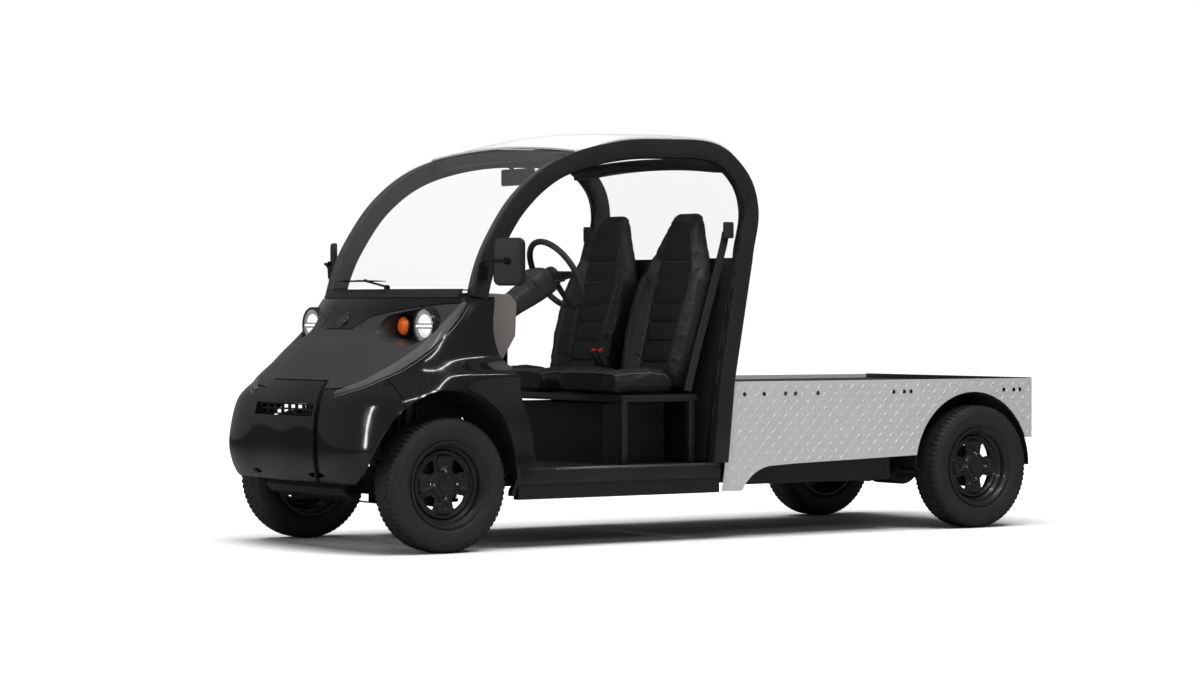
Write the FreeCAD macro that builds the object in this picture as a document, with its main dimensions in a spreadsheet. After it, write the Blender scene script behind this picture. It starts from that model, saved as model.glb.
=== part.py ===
import FreeCAD, Part
import math
import os
from FreeCAD import Vector, Placement, Rotation

os.makedirs("parts", exist_ok=True)

# Electric utility truck: an open two-seat cab on a light ladder frame, with a flat load bed.
# X runs forward, Y to the left and Z up. The origin is on the ground, under the middle of the
# vehicle's length and width. All sizes are millimetres.

doc = FreeCAD.newDocument("utility_truck")
sheet = doc.addObject("Spreadsheet::Sheet", "Sizes")

SIZES = [
    ("overall_length", 3683.0), ("wheelbase", 2896.0), ("front_overhang", 440.0),
    ("track_width", 1145.0), ("tyre_radius", 284.0), ("tyre_section", 165.0),
    ("rim_seat_radius", 165.0), ("rim_lip_radius", 183.0), ("rim_lip_reach", 72.0),
    ("disc_face_reach", 22.0), ("disc_radius", 139.0), ("lug_circle_radius", 57.15),
    ("lug_hole_radius", 6.5), ("spindle_radius", 20.0), ("running_gap", 0.05),
    ("drum_radius", 95.0), ("kingpin_inset", 102.0), ("kingpin_radius", 18.0),
    ("steer_arm_length", 130.0), ("tie_rod_radius", 9.0),
    ("rail_spread", 300.0), ("rail_width", 50.0), ("rail_height", 70.0), ("rail_bottom", 250.0),
    ("panel_wall", 6.0), ("panel_gap", 4.0), ("seat_gap", 0.3),
    ("hoop_foot_reach", 617.0), ("hoop_lean", 2.29), ("hoop_thickness", 50.0),
    ("hoop_depth", 78.0), ("crown_rise", 33.0), ("glass_wall", 5.0), ("roof_wall", 8.0),
    ("front_arch_radius", 350.0), ("rear_arch_radius", 345.0),
    ("sill_reach", 617.0), ("sill_top", 340.0), ("sill_bottom", 209.0), ("skirt_top", 272.0),
    ("floor_top", 336.0), ("floor_wall", 6.0),
    ("bed_front", -92.0), ("bed_half_width", 613.0), ("bed_rim", 694.0), ("bed_wall", 4.0),
    ("deck_top", 672.0), ("deck_wall", 30.0), ("bed_skirt_low", 212.0),
    ("seat_spacing", 287.0), ("seat_width", 480.0), ("cushion_front", 480.0),
    ("cushion_top", 772.0), ("cushion_bottom", 640.0), ("seat_back_top", 1462.0),
    ("wheel_rim_radius", 176.0), ("wheel_grip_radius", 14.0), ("column_tilt", 30.0),
    ("wheel_hub_x", 632.0), ("wheel_hub_z", 1165.0),
    ("lamp_height", 942.0), ("headlamp_reach", 471.0), ("headlamp_radius", 70.0),
    ("headlamp_face", 1412.0), ("indicator_reach", 325.0), ("indicator_radius", 40.0),
    ("indicator_face", 1446.0),
]
for row, (alias, value) in enumerate(SIZES, start=1):
    sheet.set("A%d" % row, alias)
    sheet.set("B%d" % row, "%g" % value)
    sheet.setAlias("B%d" % row, alias)
doc.recompute()


def size(alias):
    return float(sheet.get(alias))


def bind(item, **places):
    """Tie an object's properties to expressions on the size sheet."""
    for name, expression in places.items():
        item.setExpression(name.replace("_at_", "."), expression)


# ---------------------------------------------------------------- shared places
NOSE_X = size("overall_length") / 2
TAIL_X = -NOSE_X
FRONT_AXLE = NOSE_X - size("front_overhang")
REAR_AXLE = FRONT_AXLE - size("wheelbase")
HALF_TRACK = size("track_width") / 2
HUB_Z = size("tyre_radius")
FRONT_AXLE_CELLS = "(Sizes.overall_length / 2 - Sizes.front_overhang)"
REAR_AXLE_CELLS = "(Sizes.overall_length / 2 - Sizes.front_overhang - Sizes.wheelbase)"

NODES = []


def keep(item, node):
    item.Label = node
    NODES.append(item)
    return item


def feature(name, shape):
    item = doc.addObject("Part::Feature", name)
    item.Shape = shape
    return item


def compound(name, items):
    group = doc.addObject("Part::Compound", name)
    group.Links = items
    return group


def fused(name, items):
    joined = doc.addObject("Part::MultiFuse", name)
    joined.Shapes = items
    joined.Refine = True
    return joined


def less(name, base, tool):
    cut = doc.addObject("Part::Cut", name)
    cut.Base = base
    cut.Tool = tool
    return cut


def block(name, length, width, height, x, y, z):
    """A box whose sizes and low corner are expressions on the size sheet."""
    item = doc.addObject("Part::Box", name)
    bind(item, Length=length, Width=width, Height=height)
    bind(item, Placement_at_Base_at_x=x, Placement_at_Base_at_y=y, Placement_at_Base_at_z=z)
    return item


AXIS_TURN = {"X": Rotation(Vector(0, 1, 0), 90), "Y": Rotation(Vector(1, 0, 0), -90), "Z": Rotation()}


def rod(name, radius, length, x, y, z, along="Z"):
    """A round bar that starts at x, y, z and runs along one axis."""
    item = doc.addObject("Part::Cylinder", name)
    item.Placement = Placement(Vector(), AXIS_TURN[along])
    bind(item, Radius=radius, Height=length)
    bind(item, Placement_at_Base_at_x=x, Placement_at_Base_at_y=y, Placement_at_Base_at_z=z)
    return item


def mirrored(name, source):
    """The same piece on the other side of the vehicle."""
    item = doc.addObject("Part::Mirroring", name)
    item.Source = source
    item.Normal = Vector(0, 1, 0)
    return item


def pair(node, left):
    """Left and right pieces that share a node without touching."""
    return keep(compound(node, [left, mirrored(node + "_right", left)]), node)


def side_point(x, z, y=0.0):
    return Vector(x, y, z)


def smooth(points):
    curve = Part.BSplineCurve()
    curve.interpolate(points)
    return curve.toShape()


def lines(points):
    return [Part.LineSegment(a, b).toShape() for a, b in zip(points, points[1:])]


def wire_of(edges):
    return Part.Wire(Part.__sortEdges__(edges))


def side_slab(edges, low_y, high_y):
    """A closed outline in side view, stretched from low_y to high_y."""
    face = Part.Face(wire_of(edges))
    face.translate(Vector(0, low_y, 0))
    return face.extrude(Vector(0, high_y - low_y, 0))


def tube_between(start, end, radius):
    return Part.makeCylinder(radius, (end - start).Length, start, end - start)


def largest(shape):
    return max(shape.Solids, key=lambda solid: solid.Volume)


# ---------------------------------------------------------------- front body skin
# Each row is one level of the moulded nose: height, then half of its outline seen from above,
# from the middle of the nose round to the straight side.
NOSE_STEP = 12.0
SKIN_LEVELS = [
    (225, [(1752, 0), (1742, 260), (1700, 500), (1640, 610), (1400, 655), (900, 640)]),
    (290, [(1800, 0), (1790, 263), (1752, 540), (1690, 635), (1400, 690), (900, 650)]),
    (400, [(1841, 0), (1831, 263), (1780, 560), (1714, 655), (1405, 706), (900, 658)]),
    (490, [(1841, 0), (1831, 263), (1776, 560), (1706, 660), (1408, 710), (900, 662)]),
    (575, [(1836, 0), (1825, 263), (1760, 556), (1680, 664), (1412, 712), (900, 662)]),
    (640, [(1818, 0), (1803, 263), (1734, 548), (1645, 658), (1413, 709), (900, 660)]),
    (690, [(1786, 0), (1770, 250), (1700, 510), (1598, 632), (1413, 698), (900, 656)]),
    (738, [(1742, 0), (1722, 250), (1646, 500), (1540, 606), (1413, 676), (900, 650)]),
    (800, [(1684, 0), (1662, 250), (1584, 480), (1494, 598), (1380, 640), (900, 640)]),
    (860, [(1624, 0), (1602, 250), (1520, 470), (1438, 590), (1345, 622), (900, 632)]),
    (920, [(1562, 0), (1540, 250), (1462, 460), (1382, 584), (1310, 612), (900, 626)]),
    (985, [(1520, 0), (1497, 250), (1418, 450), (1340, 575), (1270, 606), (900, 620)]),
    (1050, [(1478, 0), (1454, 250), (1372, 450), (1298, 572), (1235, 602), (900, 616)]),
    (1098, [(1446, 0), (1422, 250), (1340, 450), (1268, 570), (1210, 598), (900, 614)]),
]


def step_back(reach, height):
    """How far the skin lies behind the bumper's raised middle panel."""
    fade = min(1.0, max(0.0, (560.0 - reach) / 260.0))
    if height > 700:
        fade *= max(0.0, 1.0 - (height - 700) / 220.0)
    return NOSE_STEP * fade


def skin_outline(height, half, inset, tail):
    """One closed level of the skin, moved in by inset and ended at tail."""
    half = [(x - step_back(y, height), y) for x, y in half]
    left = []
    last = len(half) - 1
    for index, (x, y) in enumerate(half):
        turn = index / float(last)
        left.append(Vector(x - inset * (1.25 - turn), y - inset * min(1.0, 2 * turn), height))
    left[0] = Vector(half[0][0] - inset * 1.3, 0, height)
    left[-1] = Vector(tail, half[-1][1] - inset, height)
    right = [Vector(p.x, -p.y, p.z) for p in left[1:]]
    around = list(reversed(right)) + left
    curve = Part.BSplineCurve()
    curve.interpolate(around)
    closing = Part.LineSegment(left[-1], right[-1])
    return Part.Wire([curve.toShape(), closing.toShape()])


def skin_solid(inset, tail, lift=0.0):
    levels = []
    for index, (height, half) in enumerate(SKIN_LEVELS):
        shift = 0.0
        if index == 0:
            shift = -lift
        if index == len(SKIN_LEVELS) - 1:
            shift = lift
        levels.append(skin_outline(height + shift, half, inset, tail))
    return Part.makeLoft(levels, True, False)


def levels_between(low, high):
    return Part.makeBox(2200, 1600, high - low, Vector(300, -800, low))


WALL = size("panel_wall")
GAP = size("panel_gap")
body_outer = skin_solid(0.0, 900)
body_inner = skin_solid(WALL, 860, 40.0)
body_shell = body_outer.cut(body_inner)
# A second thinner layer behind the skin gives the flanges that carry one panel on the next.
FLANGE_WALL = 3.0
FLANGE_REACH = 12.0
flange_layer = body_inner.common(body_outer).cut(skin_solid(WALL + FLANGE_WALL, 840, 80.0))

# The door line, from the windscreen pillar's foot down to the sill, seen from the side.
DOOR_LINE = [(1158, 1140), (1160, 1050), (1170, 945), (1155, 855), (1112, 760), (1066, 670),
             (1008, 540), (962, 338), (930, 180)]
behind_door_line = side_slab(
    [smooth([side_point(x, z) for x, z in DOOR_LINE])]
    + lines([side_point(930, 180), side_point(600, 180), side_point(600, 1140), side_point(1158, 1140)]),
    -800, 800)
body_shell = body_shell.cut(behind_door_line)

# The bonnet's lower edge, seen from the side: low across the nose, then up to the pillar's foot.
BONNET_EDGE = [(1900, 664), (1807, 672), (1725, 695), (1638, 738), (1540, 800), (1452, 860),
               (1378, 920), (1325, 980), (1275, 1050), (1240, 1130)]


def above_bonnet_edge(drop):
    points = [side_point(x, z - drop) for x, z in BONNET_EDGE]
    roof = [points[-1], side_point(1240, 1300), side_point(1900, 1300), points[0]]
    return side_slab([smooth(points)] + lines(roof), -800, 800)


def front_slab(points, low_x, high_x):
    """A closed outline in front view (y, z), stretched along X."""
    corners = [Vector(low_x, y, z) for y, z in points]
    corners.append(corners[0])
    return Part.Face(Part.makePolygon(corners)).extrude(Vector(high_x - low_x, 0, 0))


# The bumper's middle panel stands proud of the skin, and its top rises into the bonnet's lower edge.
MIDDLE_PANEL = [(230, 289), (263, 330), (263, 600), (228, 712)]


def middle_slab(shrink, low_z=None):
    half = [(y - shrink, z) for y, z in MIDDLE_PANEL]
    half[0] = (half[0][0], 289 if low_z is None else low_z)
    half[-1] = (half[-1][0], 712 - shrink)
    return front_slab(half + [(-y, z) for y, z in reversed(half)], 1560, 1900)


middle_gap = middle_slab(-GAP, 100)


# The brow panel lies above the lamps and comes down in the middle of the bonnet.
BROW_EDGE = [(0, 930), (112, 930), (150, 958), (205, 985), (300, 1003), (400, 1022), (520, 1036), (700, 1046)]


def brow_region(drop):
    left = [Vector(1100, y, z - drop) for y, z in BROW_EDGE]
    right = [Vector(1100, -p.y, p.z) for p in reversed(left[1:])]
    loop = right + left + [Vector(1100, 700, 1300), Vector(1100, -700, 1300), right[0]]
    return Part.Face(Part.makePolygon(loop)).extrude(Vector(800, 0, 0))


cowl_level = 1062.0
upper_shell = body_shell.common(above_bonnet_edge(0.0)).cut(middle_gap)
lower_shell = body_shell.cut(above_bonnet_edge(GAP))

# Lamp pockets: a rounded recess on each side, moulded into the bonnet.
POCKET_FLOOR = 1396.0


def pocket_solid(grow, floor_x, side):
    big = size("headlamp_radius") + 14 + grow
    small = size("indicator_radius") + 12 + grow
    lamp_z = size("lamp_height")
    far = Part.makeCylinder(big, 400, Vector(floor_x, side * size("headlamp_reach"), lamp_z), Vector(1, 0, 0))
    near = Part.makeCylinder(small, 400, Vector(floor_x, side * size("indicator_reach"), lamp_z), Vector(1, 0, 0))
    web_low = size("indicator_reach")
    web_high = size("headlamp_reach")
    corners = [(side * web_low, lamp_z - small), (side * web_high, lamp_z - big),
               (side * web_high, lamp_z + big), (side * web_low, lamp_z + small)]
    web = front_slab(corners, floor_x, floor_x + 400)
    return far.fuse([near, web])


hood_flange = flange_layer.common(above_bonnet_edge(GAP + FLANGE_REACH)).cut(above_bonnet_edge(-FLANGE_REACH))
hood_flange = hood_flange.common(levels_between(600, cowl_level - 20))
hood_flange = hood_flange.cut(behind_door_line).cut(middle_gap)
bonnet = upper_shell.common(levels_between(500, cowl_level - GAP)).cut(brow_region(GAP)).fuse(hood_flange.cut(brow_region(GAP)))
for side in (1, -1):
    pocket = pocket_solid(0.0, POCKET_FLOOR, side)
    lining = pocket_solid(WALL, POCKET_FLOOR - WALL, side).cut(pocket)
    lining = lining.common(body_outer).cut(brow_region(GAP))
    bonnet = bonnet.cut(pocket).fuse(lining)
keep(feature("bonnet_shape", largest(bonnet)), "hood")

bonnet = largest(bonnet)
brow = upper_shell.common(brow_region(0.0)).common(levels_between(900, cowl_level - GAP))
brow_flange = flange_layer.common(brow_region(GAP + FLANGE_REACH)).cut(brow_region(-FLANGE_REACH))
brow_flange = brow_flange.common(above_bonnet_edge(-FLANGE_REACH)).common(levels_between(900, cowl_level - 20)).cut(bonnet)
brow = brow.fuse(brow_flange)
brow = largest(brow.cut(bonnet))
keep(feature("brow_shape", brow), "brow_panel")

# The cowl closes the top of the nose, under the windscreen's foot.
cowl_rim = upper_shell.common(levels_between(cowl_level, 1098))
cowl_lid = skin_solid(WALL - 0.5, 900).common(levels_between(1090, 1096)).common(above_bonnet_edge(0.0))
cowl_flange = flange_layer.common(levels_between(cowl_level - GAP - FLANGE_REACH, cowl_level + FLANGE_REACH + 0.5))
cowl_flange = cowl_flange.common(above_bonnet_edge(0.4)).cut(bonnet).cut(brow)
hoop_room = Part.makeBox(160, 200, 200, Vector(1150, 556, 1064)).fuse(Part.makeBox(160, 200, 200, Vector(1150, -756, 1064)))
cowl = largest(cowl_rim.fuse([cowl_lid, cowl_flange]).cut(hoop_room).cut(brow).cut(bonnet))
keep(feature("cowl_shape", cowl), "cowl_top")

# Bumper and fenders meet at an upright joint just ahead of the wheel arch.
JOINT_X = 1636.0
ahead_of_joint = Part.makeBox(500, 1600, 1200, Vector(JOINT_X + GAP / 2, -800, 100))
behind_joint = Part.makeBox(1200, 1600, 1200, Vector(JOINT_X - GAP / 2 - 1200, -800, 100))
ARCH_X = FRONT_AXLE + 13.5
ARCH_Z = HUB_Z + 48.0
arch_radius = size("front_arch_radius")
arch_left = Part.makeCylinder(arch_radius, 500, Vector(ARCH_X, 335, ARCH_Z), Vector(0, 1, 0))
arch_right = Part.makeCylinder(arch_radius, 500, Vector(ARCH_X, -335, ARCH_Z), Vector(0, -1, 0))
arch_foot_left = Part.makeBox(2 * arch_radius, 500, 400, Vector(ARCH_X - arch_radius, 335, ARCH_Z - 400))
arch_foot_right = Part.makeBox(2 * arch_radius, 500, 400, Vector(ARCH_X - arch_radius, -835, ARCH_Z - 400))

forward = Vector(NOSE_STEP, 0, 0)
middle_hollow = body_inner.translated(forward)
middle = body_outer.translated(forward).cut(body_inner).common(middle_slab(0.0))
middle = middle.cut(middle_hollow.common(middle_slab(WALL)))
bumper = lower_shell.common(ahead_of_joint).cut(middle_slab(WALL)).fuse(middle)
joint_strip = Part.makeBox(GAP + 2 * FLANGE_REACH, 1600, 600, Vector(JOINT_X - GAP / 2 - FLANGE_REACH, -800, 300))
bumper_flange = flange_layer.common(joint_strip).cut(above_bonnet_edge(GAP + FLANGE_REACH + 3))
bumper = bumper.fuse(bumper_flange)
bumper = bumper.cut(Part.makeBox(900, 1600, 290 - 100, Vector(1200, -800, 100)))
bumper = bumper.cut(arch_left.fuse([arch_right, arch_foot_left, arch_foot_right]))
grille_slot = Part.makeBox(200, 488, 52, Vector(1700, -244, 566))
bumper = bumper.cut(grille_slot)
# Two rows of small windows stay behind the slot as one grating.
grating = Part.makeBox(8, 508, 48, Vector(1790, -254, 568))
for row in range(2):
    for column in range(8):
        grating = grating.cut(Part.makeBox(20, 44, 14, Vector(1780, -232 + column * 60, 574 + row * 22)))
bumper = largest(bumper.cut(bonnet))
keep(feature("bumper_shape", bumper), "front_bumper")
grating_stays = [Part.makeBox(60, 8, 40, Vector(1790, y, 572)) for y in (-256, 248)]
grating = grating.fuse(grating_stays).common(middle_hollow).cut(bumper)
keep(feature("grille_shape", grating), "front_grille")

for side, word in ((1, "left"), (-1, "right")):
    half = Part.makeBox(1400, 700, 1300, Vector(600, 150 if side > 0 else -850, 100))
    arch = arch_left if side > 0 else arch_right
    foot = arch_foot_left if side > 0 else arch_foot_right
    fender = lower_shell.common(behind_joint).common(half).cut(arch.fuse(foot))
    # The lip turns in from the skin to meet the liner.
    lip = Part.makeCylinder(arch_radius + WALL, 500, Vector(ARCH_X, side * 600, ARCH_Z), Vector(0, side, 0))
    lip = lip.cut(arch.fuse(foot)).common(body_outer).common(behind_joint).cut(behind_door_line)
    lip = lip.common(Part.makeBox(1400, 1800, 900, Vector(600, -900, ARCH_Z)))
    fender = fender.fuse(lip).cut(hoop_room)
    fender = fender.cut(Part.makeBox(244, 1600, 220, Vector(800, -800, size("sill_top") + 0.3 - 220)))
    fender = largest(fender.cut(bumper).cut(bonnet).cut(cowl).cut(brow))
    keep(feature(word + "_fender_shape", fender), word + "_fender")
    if side > 0:
        fender_left = fender

# ---------------------------------------------------------------- lower valance and arch liners
VALANCE_LINE = [(1700, 288), (1722, 262), (1700, 236), (1640, 214), (1560, 202), (1512, 199)]


def bent_strip(line, wall, low_y, high_y):
    """A thin sheet that follows a line in side view."""
    inner = inner_line(line, wall)
    loop = [side_point(x, z) for x, z in line + list(reversed(inner))]
    return side_slab(lines(loop + loop[:1]), low_y, high_y)


def inner_line(outer, depth):
    """Points that lie a depth to the left of a side-view line, seen along its run."""
    inner = []
    for index, (x, z) in enumerate(outer):
        before = outer[max(index - 1, 0)]
        after = outer[min(index + 1, len(outer) - 1)]
        run = Vector(after[0] - before[0], 0, after[1] - before[1])
        run.normalize()
        inner.append((x - run.z * depth, z + run.x * depth))
    return inner


valance = bent_strip(VALANCE_LINE, 5.0, -330, 330)
for y in (-310, 290):
    stay = Part.makeBox(30, 20, size("rail_bottom") - 0.3 - 200, Vector(1550, y, 200))
    valance = valance.fuse(stay.cut(bent_strip(VALANCE_LINE, 40.0, -330, 330).translated(Vector(0, 0, -40))))
valance = largest(valance)
keep(feature("valance_shape", valance), "front_valance")


def liner(centre_x, centre_z, radius, low_y, high_y, cut_front, cut_rear):
    ring = Part.makeCylinder(radius - 0.5, high_y - low_y, Vector(centre_x, low_y, centre_z), Vector(0, 1, 0))
    ring = ring.cut(Part.makeCylinder(radius - 5, high_y - low_y, Vector(centre_x, low_y, centre_z), Vector(0, 1, 0)))
    ring = ring.cut(Part.makeBox(4000, 2000, 900, Vector(centre_x - 2000, -1000, centre_z - 900)))
    ring = ring.cut(Part.makeBox(900, 2000, 900, Vector(centre_x + cut_front, -1000, centre_z - 10)))
    return ring.cut(Part.makeBox(900, 2000, 900, Vector(centre_x - cut_rear - 900, -1000, centre_z - 10)))


front_liner = liner(ARCH_X, ARCH_Z, arch_radius, 345, 655, 900, 900).common(body_outer)
rear_liner = liner(REAR_AXLE + 13.5, HUB_Z, size("rear_arch_radius"), 440, size("bed_half_width") - size("bed_wall") - size("seat_gap"), 900, 900)
liners = feature("liner_shapes", Part.makeCompound([front_liner, rear_liner]))
pair("arch_liners", liners)

# ---------------------------------------------------------------- side hoops, glass and roof
HOOP_OUTER = [(1268, 1073), (1240, 1172), (1204, 1258), (1150, 1350), (1074, 1456), (971, 1556),
              (857, 1632), (706, 1692), (530, 1732), (396, 1748), (183, 1753), (40, 1750),
              (-50, 1728), (-141, 1664), (-205, 1585), (-236, 1490), (-240, 1425), (-222, 1330),
              (-200, 1230), (-87, 697), (-24, 214)]
LEAN = size("hoop_lean")
FOOT_REACH = size("hoop_foot_reach")
FOOT_Z = 1073.0


def lean_placement(side):
    """The hoops tip inwards towards the roof."""
    centre = Vector(0, side * FOOT_REACH, FOOT_Z)
    turned = Placement(Vector(), Rotation(Vector(1, 0, 0), side * LEAN))
    return Placement(centre, Rotation()).multiply(turned).multiply(Placement(-centre, Rotation()))


hoop_in = inner_line(HOOP_OUTER, size("hoop_depth"))
# The last straight runs from the shoulder down to the sill; the rest is one smooth bend.
BEND = len(HOOP_OUTER) - 2


def hoop_edges(line):
    points = [side_point(x, z) for x, z in line]
    return [smooth(points[:BEND])] + lines(points[BEND - 1:])


outer_points = [side_point(x, z) for x, z in HOOP_OUTER]
inner_points = [side_point(x, z) for x, z in hoop_in]
hoop_loop = hoop_edges(HOOP_OUTER) + hoop_edges(hoop_in)
hoop_loop += lines([outer_points[0], inner_points[0]]) + lines([outer_points[-1], inner_points[-1]])
hoop_blank = side_slab(hoop_loop, FOOT_REACH - size("hoop_thickness"), FOOT_REACH)
# The post below the waist carries on down to the sill, so it stays upright there.
hoop = hoop_blank.copy()
hoop.Placement = lean_placement(1)
hoop = hoop.cut(Part.makeBox(3000, 400, 400, Vector(-1500, 400, -60))).cut(fender_left)
hoop = largest(hoop)
pair("side_hoops", feature("hoop_shape", hoop))
both_hoops = hoop.fuse(hoop.mirror(Vector(), Vector(0, 1, 0)))


def skin_over_hoops(points, half_width, rise, wall, stations=7):
    """A thin sheet that follows points in side view and bows up by rise in the middle."""
    rows = []
    for lift in (0.0, -wall):
        for (x, z), (nx, nz) in points:
            reach = half_width - (z - FOOT_Z) * math.tan(math.radians(LEAN))
            row = []
            for step in range(stations):
                across = -1.0 + 2.0 * step / (stations - 1)
                bow = rise * (1 - across * across) + lift
                row.append(Vector(x + nx * bow, across * reach, z + nz * bow))
            rows.append(row)
    count = len(points)
    outer_rows, under_rows = rows[:count], rows[count:]
    top = Part.BSplineSurface()
    top.interpolate(outer_rows)
    under = Part.BSplineSurface()
    under.interpolate(under_rows)
    return closed_between(top, under)


def closed_between(top, under):
    """Close two like surfaces into one solid with ruled edges."""
    top_face, under_face = top.toShape(), under.toShape()
    u0, u1, v0, v1 = top.bounds()
    faces = [top_face, under_face]
    for a, b in ((top.uIso(u0), under.uIso(u0)), (top.uIso(u1), under.uIso(u1)),
                 (top.vIso(v0), under.vIso(v0)), (top.vIso(v1), under.vIso(v1))):
        faces.append(Part.makeRuledSurface(a.toShape(), b.toShape()))
    shell = Part.makeShell(faces)
    shell.sewShape()
    solid = Part.makeSolid(shell)
    if solid.Volume < 0:
        solid.reverse()
    return solid


def outward(points):
    """Pair each side-view point with the unit direction that points away from the cab."""
    chosen = []
    for index, (x, z) in enumerate(points):
        before = points[max(index - 1, 0)]
        after = points[min(index + 1, len(points) - 1)]
        run = Vector(after[0] - before[0], 0, after[1] - before[1])
        run.normalize()
        chosen.append(((x, z), (run.z, -run.x)))
    return chosen


GLASS_LINE = [(1262, 1100), (1240, 1172), (1204, 1258), (1150, 1350), (1074, 1456), (971, 1556), (857, 1632), (740, 1681)]
ROOF_LINE = [(730, 1684), (530, 1732), (396, 1748), (183, 1753), (40, 1750), (-50, 1728), (-110, 1690)]
SHEET_REACH = FOOT_REACH - 12.0
SHEET_LIFT = 1.6
GLASS_LIFT = 0.4


def raised(line, lift):
    """Move a side-view line out from the cab by lift."""
    return [((x + nx * lift, z + nz * lift), (nx, nz)) for (x, z), (nx, nz) in outward(line)]


windscreen_points = raised(GLASS_LINE, size("glass_wall") + GLASS_LIFT)
roof_points = raised(ROOF_LINE, size("roof_wall") + SHEET_LIFT)
windscreen = skin_over_hoops(windscreen_points, SHEET_REACH, size("crown_rise"), size("glass_wall"))
windscreen = largest(windscreen.cut(both_hoops))
keep(feature("windscreen_shape", windscreen), "windshield")
roof = skin_over_hoops(roof_points, SHEET_REACH, size("crown_rise"), size("roof_wall"))
roof = largest(roof.cut(both_hoops))
keep(feature("roof_shape", roof), "roof_panel")

# ---------------------------------------------------------------- cross bars between the hoops
def hoop_y(z):
    """How far out a hoop's outer face stands at a height."""
    return FOOT_REACH - (z - FOOT_Z) * math.tan(math.radians(LEAN))


def cross_bar(x, z, length_x, height, drop_ends=0.0):
    reach = hoop_y(z) - size("hoop_thickness") + 6.0
    rise = size("crown_rise") * 0.8
    points = [Vector(x, -reach, z), Vector(x, 0, z + rise), Vector(x, reach, z)]
    low = [Vector(x, p.y, p.z - height) for p in points]
    top = Part.Arc(*points).toShape()
    under = Part.Arc(*low).toShape()
    ends = lines([points[0], low[0]]) + lines([points[2], low[2]])
    face = Part.Face(wire_of([top, under] + ends))
    return face.extrude(Vector(length_x, 0, 0))


bars = [cross_bar(672, 1676, 86, 40), cross_bar(250, 1728, 60, 30), cross_bar(-90, 1664, 60, 50)]
bars = [bar.cut(both_hoops) for bar in bars]
keep(feature("cross_bar_shapes", Part.makeCompound(bars)), "roof_crossbars")

# ---------------------------------------------------------------- ladder frame
RAIL_SPREAD = size("rail_spread")
rails = []
for side in (1, -1):
    place = "%g * Sizes.rail_spread - Sizes.rail_width / 2" % side
    word = "left" if side > 0 else "right"
    rails.append(block("rail_" + word, "2720", "Sizes.rail_width", "Sizes.rail_height", "-1120", place,
                       "Sizes.rail_bottom"))
    # The rails kick up over the rear axle.
    rails.append(block("rail_post_" + word, "50", "Sizes.rail_width", "200", "-1120", place, "Sizes.rail_bottom"))
    rails.append(block("rail_rear_" + word, "700", "Sizes.rail_width", "60", "-1770", place, "Sizes.rail_bottom + 150"))
rails.append(block("rear_cross_member", "50", "2 * Sizes.rail_spread", "50", "-1770", "-Sizes.rail_spread",
                   "Sizes.rail_bottom + 155"))
for number, x in enumerate((-1120, -250, 420, 1050, 1540)):
    rails.append(block("cross_member_%d" % number, "50", "2 * Sizes.rail_spread", "Sizes.rail_height - 10",
                       "%g" % x, "-Sizes.rail_spread", "Sizes.rail_bottom + 5"))
for number, x in enumerate((-10, 960)):
    rails.append(block("outrigger_%d" % number, "50", "2 * (Sizes.sill_reach - 58.3)", "Sizes.rail_height - 20",
                       "%g" % x, "-(Sizes.sill_reach - 58.3)", "Sizes.rail_bottom + 15"))
for number, x in enumerate((-400, -900)):
    rails.append(block("deck_post_%d" % number, "50", "2 * Sizes.rail_spread", "40", "%g" % x,
                       "-Sizes.rail_spread", "Sizes.rail_bottom + 10"))
for number, (x, y) in enumerate([(x, y) for x in (-1740, -1080, -420) for y in (-300, 275)]):
    foot = "Sizes.rail_bottom + 160" if x < -1200 else "Sizes.rail_bottom"
    rails.append(block("deck_leg_%d" % number, "50", "25", "Sizes.deck_top - Sizes.deck_wall - (%s)" % foot,
                       "%g" % x, "%g" % y, foot))
for number, y in enumerate((-300, 275)):
    rails.append(block("bumper_stay_%d" % number, "115", "25", "40", "1560", "%g" % (y * 0.8),
                       "Sizes.rail_bottom + 10"))
    rails.append(block("front_tower_%d" % number, "120", "25", "400", "Sizes.overall_length / 2 - Sizes.front_overhang - 60",
                       "%g" % y, "Sizes.rail_bottom"))
keep(fused("frame_joined", rails), "chassis_frame")

# ---------------------------------------------------------------- front suspension and steering
KINGPIN_Y = HALF_TRACK - size("kingpin_inset")
LOW_BALL = 214.0
HIGH_BALL = 356.0
arm_gap = 0.5
lower_arm = Part.makeBox(110, KINGPIN_Y - RAIL_SPREAD + 20, 20, Vector(FRONT_AXLE - 12, RAIL_SPREAD - 20, LOW_BALL - 20 - arm_gap))
lower_arm = lower_arm.fuse(Part.makeCylinder(26, 20, Vector(FRONT_AXLE, KINGPIN_Y, LOW_BALL - 20 - arm_gap)))
lower_arm = lower_arm.fuse(Part.makeBox(110, 30, 56, Vector(FRONT_AXLE - 12, RAIL_SPREAD - 22, LOW_BALL - 20 - arm_gap)))
upper_arm = Part.makeBox(50, KINGPIN_Y - RAIL_SPREAD - 20, 18, Vector(FRONT_AXLE - 25, RAIL_SPREAD + 20, HIGH_BALL + arm_gap))
upper_arm = upper_arm.fuse(Part.makeCylinder(24, 18, Vector(FRONT_AXLE, KINGPIN_Y, HIGH_BALL + arm_gap)))
strut_low = Vector(FRONT_AXLE + 60, KINGPIN_Y - 60, LOW_BALL - 8)
strut_high = Vector(FRONT_AXLE + 50, KINGPIN_Y - 80, 640)
strut = tube_between(strut_low, strut_high, 16)
middle = strut_low + (strut_high - strut_low) * 0.45
strut = strut.fuse(tube_between(middle, strut_high, 36))
tower = Part.makeBox(110, KINGPIN_Y - 50 - RAIL_SPREAD, 16, Vector(FRONT_AXLE - 5, RAIL_SPREAD, 640))
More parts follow.
